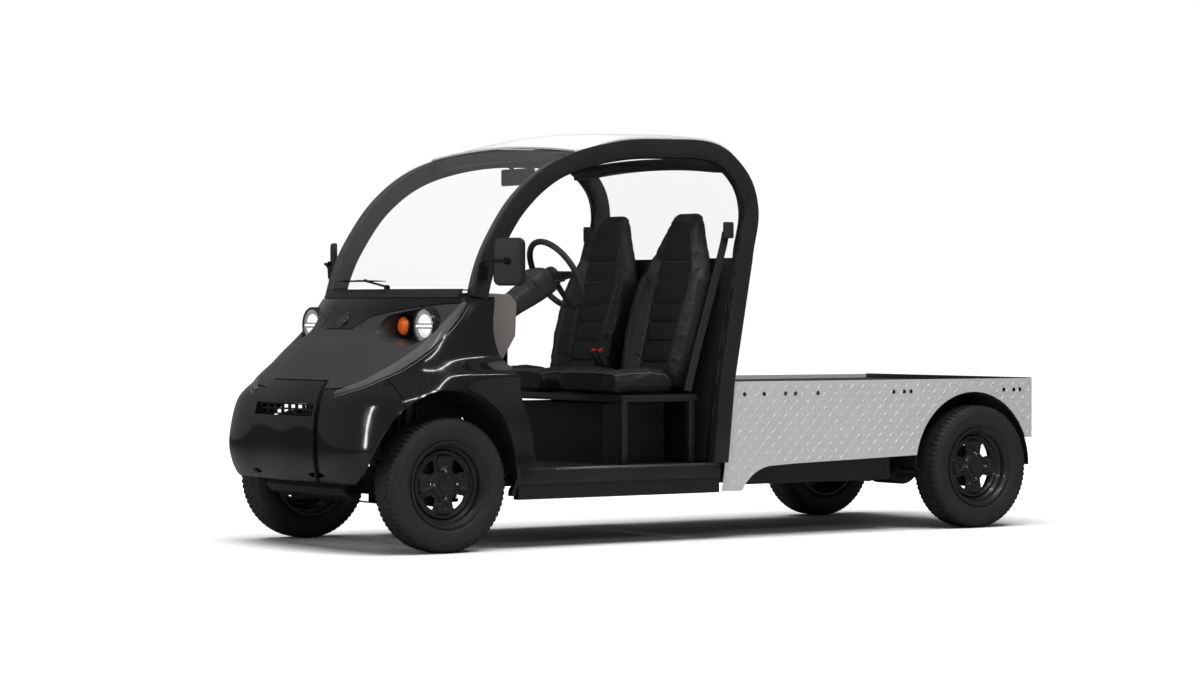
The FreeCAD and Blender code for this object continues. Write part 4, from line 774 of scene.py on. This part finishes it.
BACK_SEAMS = [[(-0.165, 1.285), (-0.140, 1.262), (-0.105, 1.229), (0.105, 1.229), (0.140, 1.262), (0.165, 1.285)],
              [(-0.128, 1.108), (-0.104, 1.133), (0.104, 1.133), (0.128, 1.108)]]
for side in (1, -1):
    BACK_SEAMS.append([(side * 0.205, 1.215), (side * 0.132, 1.120), (side * 0.124, 1.035), (side * 0.119, 0.958),
                       (side * 0.117, 0.871), (side * 0.115, 0.778), (side * 0.112, 0.700)])
for height in (1.035, 0.958, 0.871, 0.778):
    BACK_SEAMS.append([(-0.122, height + 0.022), (-0.100, height), (0.100, height), (0.122, height + 0.022)])
back_blank = loft([padded_ring(lambda y, x, z=z: Vector((x, y, z)), rear, middle, bolster, half)
                   for z, middle, bolster, rear, half in BACK_ROWS])
back_mesh = puffed(back_blank, "seat_back", 0.010)
sew(back_mesh, BACK_SEAMS, [1, 2], 0, 0.0045, 0.0035, 0.004)
stitches = bmesh.new()


def upholster(pad, seat, name, node):
    """Set a copy of a finished pad on one seat, and return its surface for laying thread on."""
    placed = pad.copy()
    placed.transform(Matrix.Translation((0, seat * SEAT_CENTRE, 0)))
    side_name = "left_" if seat > 0 else "right_"
    cover = bpy.data.objects.new(side_name + name, placed)
    bpy.context.scene.collection.objects.link(cover)
    placed.materials.clear()
    placed.materials.append(vinyl.material)
    placed.polygons.foreach_set("use_smooth", [True] * len(placed.polygons))
    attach(cover, "truck")
    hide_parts(node)
    maker = bmesh.new()
    maker.from_mesh(placed)
    skin = BVHTree.FromBMesh(maker)
    maker.free()
    return skin


for seat in (1, -1):
    skin = upholster(back_mesh, seat, "seat_back_pad", "seat_backs")
    for seam in BACK_SEAMS[:1] + BACK_SEAMS[2:4] + BACK_SEAMS[1:2]:
        line = []
        for point in smooth_line([(0, y, z) for y, z in seam], 12 * len(seam)):
            hit = skin.ray_cast(Vector((0.6, point.y + seat * SEAT_CENTRE, point.z)), Vector((-1, 0, 0)))[0]
            if hit is not None:
                line.append(hit + Vector((0.0008, 0, 0)))
        add_to(stitches, rod_along(line, 0.0011, 5, (1, 0, 0)))

# ---------------------------------------------------------------- seat cushions
# The cushions are the same foam and vinyl: a boxed front about 100 mm deep, low side bolsters, and piping
# round the top edge.
CUSHION_ROWS = [(0.150, 0.652, 0.708, 0.722, 0.205), (0.20, 0.648, 0.716, 0.742, 0.222), (0.28, 0.648, 0.724, 0.752, 0.230),
                (0.36, 0.648, 0.734, 0.750, 0.232), (0.42, 0.649, 0.740, 0.745, 0.232), (0.455, 0.652, 0.742, 0.740, 0.230),
                (0.471, 0.660, 0.736, 0.732, 0.224)]
cushion_blank = loft([padded_ring(lambda y, z, x=x: Vector((x, y, z)), low, middle, bolster, half)
                      for x, low, middle, bolster, half in CUSHION_ROWS])
cushion_mesh = puffed(cushion_blank, "seat_cushion", 0.0045)
CUSHION_SEAMS = [[(0.17, -0.150), (0.30, -0.155), (0.415, -0.150), (0.435, -0.120), (0.435, 0.120), (0.415, 0.150),
                  (0.30, 0.155), (0.17, 0.150)], [(0.29, -0.155), (0.29, 0.155)]]
sew(cushion_mesh, CUSHION_SEAMS, [0, 1], 2, 0.0045, 0.0035, 0.004)
for vert in cushion_mesh.vertices:
    vert.co.z = max(vert.co.z, 0.6405)
for seat in (1, -1):
    skin = upholster(cushion_mesh, seat, "seat_cushion_pad", "seat_cushions")
    edge = [(0.165, 0.238, 0.712), (0.22, 0.243, 0.742), (0.29, 0.245, 0.752), (0.37, 0.245, 0.746), (0.44, 0.243, 0.738),
            (0.472, 0.225, 0.736), (0.480, 0.19, 0.737), (0.482, 0.0, 0.739)]
    edge += [(x, -y, z) for x, y, z in reversed(edge[:-1])]
    line = []
    for point in smooth_line(edge, 120):
        spot, normal, index, gap = skin.find_nearest(Vector((point.x, point.y + seat * SEAT_CENTRE, point.z)))
        line.append(spot + normal * 0.0008)
    add_to(stitches, rod_along(line, 0.0016, 6, (0, 0, 1)))
piece_from(stitches, "seat_thread", thread, "truck")

# ---------------------------------------------------------------- seat belts
# Each belt is black woven webbing from a guide on the hoop down to an anchor on the seat rail. Its buckle
# stands between the seats on a short stalk, with a red release button.
webbing = Finish("black webbing", (0.014, 0.014, 0.0145), 0.72)
weave = webbing.node("ShaderNodeTexWave", {"bands_direction": "Z"}, {"Vector": webbing.place, "Scale": 330.0})
webbing.tint((0.026, 0.026, 0.027), weave * 0.7)
webbing.bump(weave, 0.0003)
red_button = Finish("red release button", (0.55, 0.02, 0.012), 0.35)
red_button.set("Roughness", red_button.noise(90.0) * 0.1 + 0.3)
straps = bmesh.new()
buttons = bmesh.new()
BELT_RUN = [(-0.108, 1.352), (-0.096, 1.30), (-0.060, 1.18), (0.000, 0.99), (0.060, 0.80), (0.100, 0.655)]
for side in (1, -1):
    rings = []
    for x, z in BELT_RUN:
        low, high = 0.531, 0.549
        rings.append([Vector((x - 0.021, side * low, z - 0.004)), Vector((x + 0.021, side * (low + 0.004), z + 0.004)),
                      Vector((x + 0.021, side * (low + 0.006), z + 0.004)), Vector((x - 0.021, side * (low + 0.002), z - 0.004))])
    add_to(straps, loft(rings))
    guide = bmesh.new()
    bmesh.ops.create_cube(guide, size=1.0)
    bmesh.ops.scale(guide, vec=(0.050, 0.020, 0.072), verts=guide.verts)
    bmesh.ops.translate(guide, vec=(-0.112, side * 0.548, 1.362), verts=guide.verts)
    bmesh.ops.bevel(guide, geom=guide.edges[:], offset=0.006, affect="EDGES", segments=3, profile=0.5, material=-1)
    add_to(straps, guide)
    buckle = bmesh.new()
    bmesh.ops.create_cube(buckle, size=1.0)
    bmesh.ops.scale(buckle, vec=(0.030, 0.022, 0.075), verts=buckle.verts)
    bmesh.ops.rotate(buckle, cent=(0, 0, 0), matrix=Matrix.Rotation(math.radians(24), 3, "Y"), verts=buckle.verts)
    bmesh.ops.translate(buckle, vec=(0.20, side * 0.026, 0.790), verts=buckle.verts)
    bmesh.ops.bevel(buckle, geom=buckle.edges[:], offset=0.005, affect="EDGES", segments=3, profile=0.5, material=-1)
    add_to(straps, buckle)
    add_to(straps, rod_along([Vector((0.19, side * 0.026, 0.76)), Vector((0.17, side * 0.028, 0.70)),
                              Vector((0.15, side * 0.030, 0.62))], 0.006, 8))
    button = bmesh.new()
    bmesh.ops.create_cube(button, size=1.0)
    bmesh.ops.scale(button, vec=(0.022, 0.015, 0.012), verts=button.verts)
    bmesh.ops.rotate(button, cent=(0, 0, 0), matrix=Matrix.Rotation(math.radians(24), 3, "Y"), verts=button.verts)
    bmesh.ops.translate(button, vec=(0.2165, side * 0.026, 0.8275), verts=button.verts)
    bmesh.ops.bevel(button, geom=button.edges[:], offset=0.003, affect="EDGES", segments=2, profile=0.5, material=-1)
    add_to(buttons, button)
sharpen(piece_from(straps, "belt_webbing", webbing, "truck", ["seat_belts"]), 35)
sharpen(piece_from(buttons, "belt_buttons", red_button, "truck"), 35)

# ---------------------------------------------------------------- lamps
# Each headlamp is a round sealed unit in a black bezel: a bright bowl, two lit quarters above and below a
# horizontal light bar, and a clear domed lens. The amber indicators and red tail lamps are pebbled domes.
bezel_black = Finish("lamp bezel", (0.008, 0.008, 0.0085), 0.25, coat=0.4)
bezel_black.set("Roughness", bezel_black.noise(70.0) * 0.1 + 0.2)
bowl_bright = Finish("bright lamp bowl", (0.82, 0.83, 0.85), 0.12, metallic=0.8)
bowl_bright.set("Roughness", bowl_bright.noise(120.0) * 0.1 + 0.08)
lit_white = Finish("lit white bar", (0.9, 0.9, 0.9), 0.3)
lit_white.shader.inputs["Emission Color"].default_value = (0.95, 0.97, 1.0, 1.0)
lit_white.shader.inputs["Emission Strength"].default_value = 0.6
lamp_lens = Finish("clear lamp lens", (0.9, 0.92, 0.94), 0.05, coat=0.5, alpha=0.1)
lamp_lens.set("Roughness", lamp_lens.noise(60.0) * 0.04 + 0.03)
dress(bowl_bright, "headlamps")
bezels, bowls, bars, lenses = bmesh.new(), bmesh.new(), bmesh.new(), bmesh.new()
LAMP_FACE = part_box("headlamps")[1].x
for side in (1, -1):
    centre = Vector((LAMP_FACE, side * 0.471, 0.942))
    ahead = (1, 0, 0)
    add_to(bezels, turned([(-0.030, 0.0705), (0.006, 0.0705), (0.010, 0.0740), (0.012, 0.0770), (0.008, 0.0800),
                           (-0.030, 0.0800), (-0.030, 0.0705)], ahead, centre, 64))
    add_to(bowls, turned([(0.0005, 0.0), (0.0008, 0.020), (0.0020, 0.045), (0.0050, 0.062), (0.0080, 0.0700), (-0.001, 0.0702)],
                         ahead, centre, 64))
    for above in (1, -1):
        quarter = bmesh.new()
        bmesh.ops.create_circle(quarter, cap_ends=True, radius=0.048, segments=40)
        bmesh.ops.bisect_plane(quarter, geom=quarter.verts[:] + quarter.edges[:] + quarter.faces[:],
                               plane_co=(0, 0.012, 0), plane_no=(0, 1, 0), clear_inner=True)
        grown = bmesh.ops.extrude_face_region(quarter, geom=quarter.faces[:])
        bmesh.ops.translate(quarter, vec=(0, 0, 0.004),
                            verts=[item for item in grown["geom"] if isinstance(item, bmesh.types.BMVert)])
        facing = Matrix(((0, 0, 1, centre.x + 0.001), (1, 0, 0, centre.y), (0, above, 0, centre.z), (0, 0, 0, 1)))
        bmesh.ops.transform(quarter, matrix=facing, verts=quarter.verts)
        bmesh.ops.recalc_face_normals(quarter, faces=quarter.faces)
        add_to(bars, quarter)
    bar = bmesh.new()
    bmesh.ops.create_cube(bar, size=1.0)
    bmesh.ops.scale(bar, vec=(0.006, 0.124, 0.0085), verts=bar.verts)
    bmesh.ops.translate(bar, vec=centre + Vector((0.005, 0, 0)), verts=bar.verts)
    bmesh.ops.bevel(bar, geom=bar.edges[:], offset=0.0015, affect="EDGES", segments=2, profile=0.5, material=-1)
    add_to(bars, bar)
    add_to(lenses, turned([(0.006, 0.0700), (0.010, 0.066), (0.015, 0.050), (0.018, 0.028), (0.019, 0.0)], ahead, centre, 64))
piece_from(bezels, "headlamp_bezels", bezel_black, "truck")
piece_from(bowls, "headlamp_bowls", bowl_bright, "truck")
piece_from(bars, "headlamp_light_bars", lit_white, "truck")
piece_from(lenses, "headlamp_lenses", lamp_lens, "truck")


def pebbled(name, colour, glow):
    """A coloured lens with moulded pebbles."""
    made = Finish(name, colour, 0.12, coat=1.0)
    pebbles = made.node("ShaderNodeTexVoronoi", None, {"Vector": made.place, "Scale": 130.0})
    made.tint([value * 0.6 for value in colour], pebbles)
    made.bump(pebbles, 0.001)
    made.shader.inputs["Emission Color"].default_value = (*colour, 1.0)
    made.shader.inputs["Emission Strength"].default_value = glow
    return made


amber = pebbled("amber lens", (0.9, 0.15, 0.008), 0.12)
red = pebbled("red lens", (0.5, 0.008, 0.008), 0.08)
DOME = [(-0.040, 0.0), (-0.040, 0.90), (0.002, 1.0), (0.010, 0.96), (0.017, 0.82), (0.021, 0.55), (0.0225, 0.25),
        (0.023, 0.0)]
AMBER_RIM = [(-0.030, 0.0385), (0.002, 0.0385), (0.006, 0.0405), (0.004, 0.0425), (-0.030, 0.0425), (-0.030, 0.0385)]
RED_RIM = [(-0.006, 0.036), (0.0005, 0.036), (0.001, 0.0385), (-0.001, 0.0405), (-0.006, 0.0405), (-0.006, 0.036)]
ambers, reds, rims = bmesh.new(), bmesh.new(), bmesh.new()
INDICATOR_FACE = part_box("indicator_lamps")[1].x
TAIL_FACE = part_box("tail_lamps")[0].x
for side in (1, -1):
    centre = Vector((INDICATOR_FACE - 0.023, side * 0.325, 0.942))
    add_to(ambers, turned([(a, r * 0.0385) for a, r in DOME], (1, 0, 0), centre, 48))
    add_to(rims, turned(AMBER_RIM, (1, 0, 0), centre, 48))
    centre = Vector((TAIL_FACE + 0.0010, side * 0.5, 0.5))
    add_to(reds, turned([(a * 0.05 - 0.001, r * 0.037) for a, r in DOME], (-1, 0, 0), centre, 48))
    add_to(rims, turned(RED_RIM, (-1, 0, 0), centre, 48))
piece_from(ambers, "indicator_domes", amber, "truck", ["indicator_lamps"])
piece_from(reds, "tail_lamp_domes", red, "truck", ["tail_lamps"])
piece_from(rims, "small_lamp_rims", bezel_black, "truck")

# ---------------------------------------------------------------- mirrors
# Each side mirror is a rounded black shell with a flat glass, held by a bent steel arm clamped to the hoop.
silver = Finish("mirror glass", (0.85, 0.86, 0.87), 0.02, metallic=1.0)
silver.set("Roughness", silver.noise(3.0) * 0.02 + 0.01)
shells, glasses, arms = bmesh.new(), bmesh.new(), bmesh.new()
for side in (1, -1):
    swing = Matrix.Rotation(math.radians(28 * side), 4, "Z")
    seat_at = Matrix.Translation((1.160, side * 0.727, 1.210)) @ swing
    shell = bmesh.new()
    bmesh.ops.create_cube(shell, size=1.0)
    bmesh.ops.scale(shell, vec=(0.026, 0.142, 0.200), verts=shell.verts)
    upright = [edge for edge in shell.edges if abs((edge.verts[0].co - edge.verts[1].co).x) > 0.02]
    bmesh.ops.bevel(shell, geom=upright, offset=0.030, affect="EDGES", segments=8, profile=0.5, material=-1)
    front = [edge for edge in shell.edges if edge.verts[0].co.x > 0.012 and edge.verts[1].co.x > 0.012]
    bmesh.ops.bevel(shell, geom=front, offset=0.010, affect="EDGES", segments=4, profile=0.5, material=-1)
    bmesh.ops.transform(shell, matrix=seat_at, verts=shell.verts)
    add_to(shells, shell)
    glass = bmesh.new()
    bmesh.ops.create_cube(glass, size=1.0)
    bmesh.ops.scale(glass, vec=(0.002, 0.130, 0.188), verts=glass.verts)
    upright = [edge for edge in glass.edges if abs((edge.verts[0].co - edge.verts[1].co).x) > 0.001]
    bmesh.ops.bevel(glass, geom=upright, offset=0.026, affect="EDGES", segments=8, profile=0.5, material=-1)
    bmesh.ops.translate(glass, vec=(-0.0135, 0, 0), verts=glass.verts)
    bmesh.ops.transform(glass, matrix=seat_at, verts=glass.verts)
    add_to(glasses, glass)
    bend = smooth_line([(1.240, side * 0.628, 1.150), (1.240, side * 0.634, 1.196), (1.238, side * 0.662, 1.214),
                        (1.216, side * 0.704, 1.216), (1.178, side * 0.733, 1.214)], 28)
    add_to(arms, rod_along(bend, 0.0060, 12, (1.0, 0.2, 0.0)))
    add_to(arms, turned([(-0.012, 0.0), (-0.012, 0.015), (0.008, 0.015), (0.012, 0.011), (0.012, 0.0)], (1, 0, 0),
                        (1.174, side * 0.734, 1.214), 24))
    clamp = bmesh.new()
    bmesh.ops.create_cube(clamp, size=1.0)
    bmesh.ops.scale(clamp, vec=(0.040, 0.014, 0.070), verts=clamp.verts)
    bmesh.ops.translate(clamp, vec=(1.222, side * 0.624, 1.165), verts=clamp.verts)
    bmesh.ops.bevel(clamp, geom=clamp.edges[:], offset=0.004, affect="EDGES", segments=3, profile=0.5, material=-1)
    add_to(arms, clamp)
    for height in (1.142, 1.188):
        add_to(arms, turned([(a, r * 0.8) for a, r in SCREW_HEAD], (0, side, 0), (1.214, side * 0.631, height), 14))
sharpen(piece_from(shells, "side_mirror_shells", black_plastic, "truck", ["side_mirrors"]), 35)
piece_from(glasses, "side_mirror_glasses", silver, "truck")
sharpen(piece_from(arms, "side_mirror_arms", black_screw, "truck"), 35)

# ---------------------------------------------------------------- wiper
# One wiper parks flat above the cowl: a tapered steel arm on a capped pivot, and a hinged blade with a rubber lip.
BLADE_LEVEL = 1.130
blade = []
for step in range(15):
    share = step / 14
    y = -0.310 + 0.436 * share
    tall = 0.0022 + 0.0058 * math.sin(math.pi * share) ** 0.6
    x = 1.405 - 0.010 * (2 * share - 1) ** 2
    blade.append([Vector((x - 0.004, y, BLADE_LEVEL)), Vector((x + 0.004, y, BLADE_LEVEL)),
                  Vector((x + 0.0025, y, BLADE_LEVEL + tall)), Vector((x - 0.0025, y, BLADE_LEVEL + tall))])
wiper_maker = loft(blade)
arm_line = smooth_line([(1.408, -0.090, 1.136), (1.411, -0.020, 1.133), (1.413, 0.080, 1.120),
                        (1.412, 0.160, 1.108)], 16)
rings = []
for index, point in enumerate(arm_line):
    half = 0.004 + 0.006 * index / 15
    rings.append([point + Vector((x, 0, z))
                  for x, z in ((half, -0.003), (half, 0.003), (-half, 0.003), (-half, -0.003))])
add_to(wiper_maker, loft(rings))
add_to(wiper_maker, turned([(-0.008, 0.0), (-0.008, 0.013), (0.004, 0.013), (0.009, 0.009), (0.010, 0.0)], (0, 0, 1),
                           (1.412, 0.162, 1.106), 24))
HINGE_PIN = [(-0.008, 0.0), (-0.008, 0.005), (0.008, 0.005), (0.008, 0.0)]
for y in (-0.19, -0.03):
    add_to(wiper_maker, turned(HINGE_PIN, (1, 0, 0), (1.405, y, 1.1365), 12))
sharpen(piece_from(wiper_maker, "wiper_and_arm", black_screw, "truck", ["wiper"]), 35)

# ---------------------------------------------------------------- studio
# A plain white floor that runs off into a white room, with large soft lamps overhead and at the sides.
floor_maker = bmesh.new()
bmesh.ops.create_grid(floor_maker, x_segments=1, y_segments=1, size=60.0)
floor_mesh = bpy.data.meshes.new("studio_floor")
floor_maker.to_mesh(floor_mesh)
floor_maker.free()
floor = bpy.data.objects.new("studio_floor", floor_mesh)
bpy.context.scene.collection.objects.link(floor)
white_floor = Finish("white studio floor", (0.93, 0.93, 0.93), 0.7)
seen = white_floor.node("ShaderNodeLightPath", output="Is Glossy Ray")
white_floor.tint((0.10, 0.10, 0.10), seen)
direct = white_floor.node("ShaderNodeLightPath", output="Is Camera Ray")
away = white_floor.node("ShaderNodeVectorMath", {"operation": "LENGTH"}, {0: white_floor.place}, "Value")
fade = white_floor.node("ShaderNodeMapRange", None, {"Value": away, "From Min": 2.6, "From Max": 4.5})
glow = white_floor.node("ShaderNodeMix", {"data_type": "RGBA"},
                        {0: fade * direct, 6: (0, 0, 0, 1), 7: (1, 1, 1, 1)}, 2)
white_floor.set("Emission Color", glow)
white_floor.set("Emission Strength", 1.0)
floor_mesh.materials.append(white_floor.material)

world = bpy.data.worlds.new("white studio")
bpy.context.scene.world = world
world.use_nodes = True
room = world.node_tree
backdrop = room.nodes["Background"]
backdrop.inputs["Color"].default_value = (1, 1, 1, 1)
ray = room.nodes.new("ShaderNodeLightPath")
level = room.nodes.new("ShaderNodeMapRange")
level.inputs["To Min"].default_value = 0.13
level.inputs["To Max"].default_value = 1.0
room.links.new(ray.outputs["Is Camera Ray"], level.inputs["Value"])
room.links.new(level.outputs["Result"], backdrop.inputs["Strength"])


def soft_lamp(name, place, aim, wide, high, power):
    data = bpy.data.lights.new(name, "AREA")
    data.shape = "RECTANGLE"
    data.size = wide
    data.size_y = high
    data.energy = power
    lamp = bpy.data.objects.new(name, data)
    bpy.context.scene.collection.objects.link(lamp)
    lamp.location = place
    lamp.rotation_euler = (Vector(aim) - Vector(place)).to_track_quat("-Z", "Y").to_euler()
    return lamp


soft_lamp("overhead_softbox", (0.5, 0.5, 6.0), (0.0, 0.0, 0.3), 9.0, 6.0, 900).visible_glossy = False
soft_lamp("ceiling_strip", (0.5, 3.2, 5.0), (0.4, 0.4, 0.6), 6.0, 0.22, 60)
soft_lamp("front_strip", (7.0, 0.2, 2.6), (1.6, 0.0, 0.7), 0.35, 4.0, 60)
soft_lamp("left_strip", (3.4, 6.5, 3.6), (0.8, 0.5, 0.7), 4.0, 0.16, 40)

camera_data = bpy.data.cameras.new("view")
camera = bpy.data.objects.new("view", camera_data)
bpy.context.scene.collection.objects.link(camera)
camera.location = (8.7178, 12.3661, 1.0099)
yaw, pitch = -2.174, -0.0083
look = Vector((math.cos(yaw) * math.cos(pitch), math.sin(yaw) * math.cos(pitch), math.sin(pitch)))
camera.rotation_euler = look.to_track_quat("-Z", "Y").to_euler()
camera_data.lens = 100.06
camera_data.sensor_width = 36.0
bpy.context.scene.camera = camera
bpy.context.scene.view_settings.view_transform = "Standard"
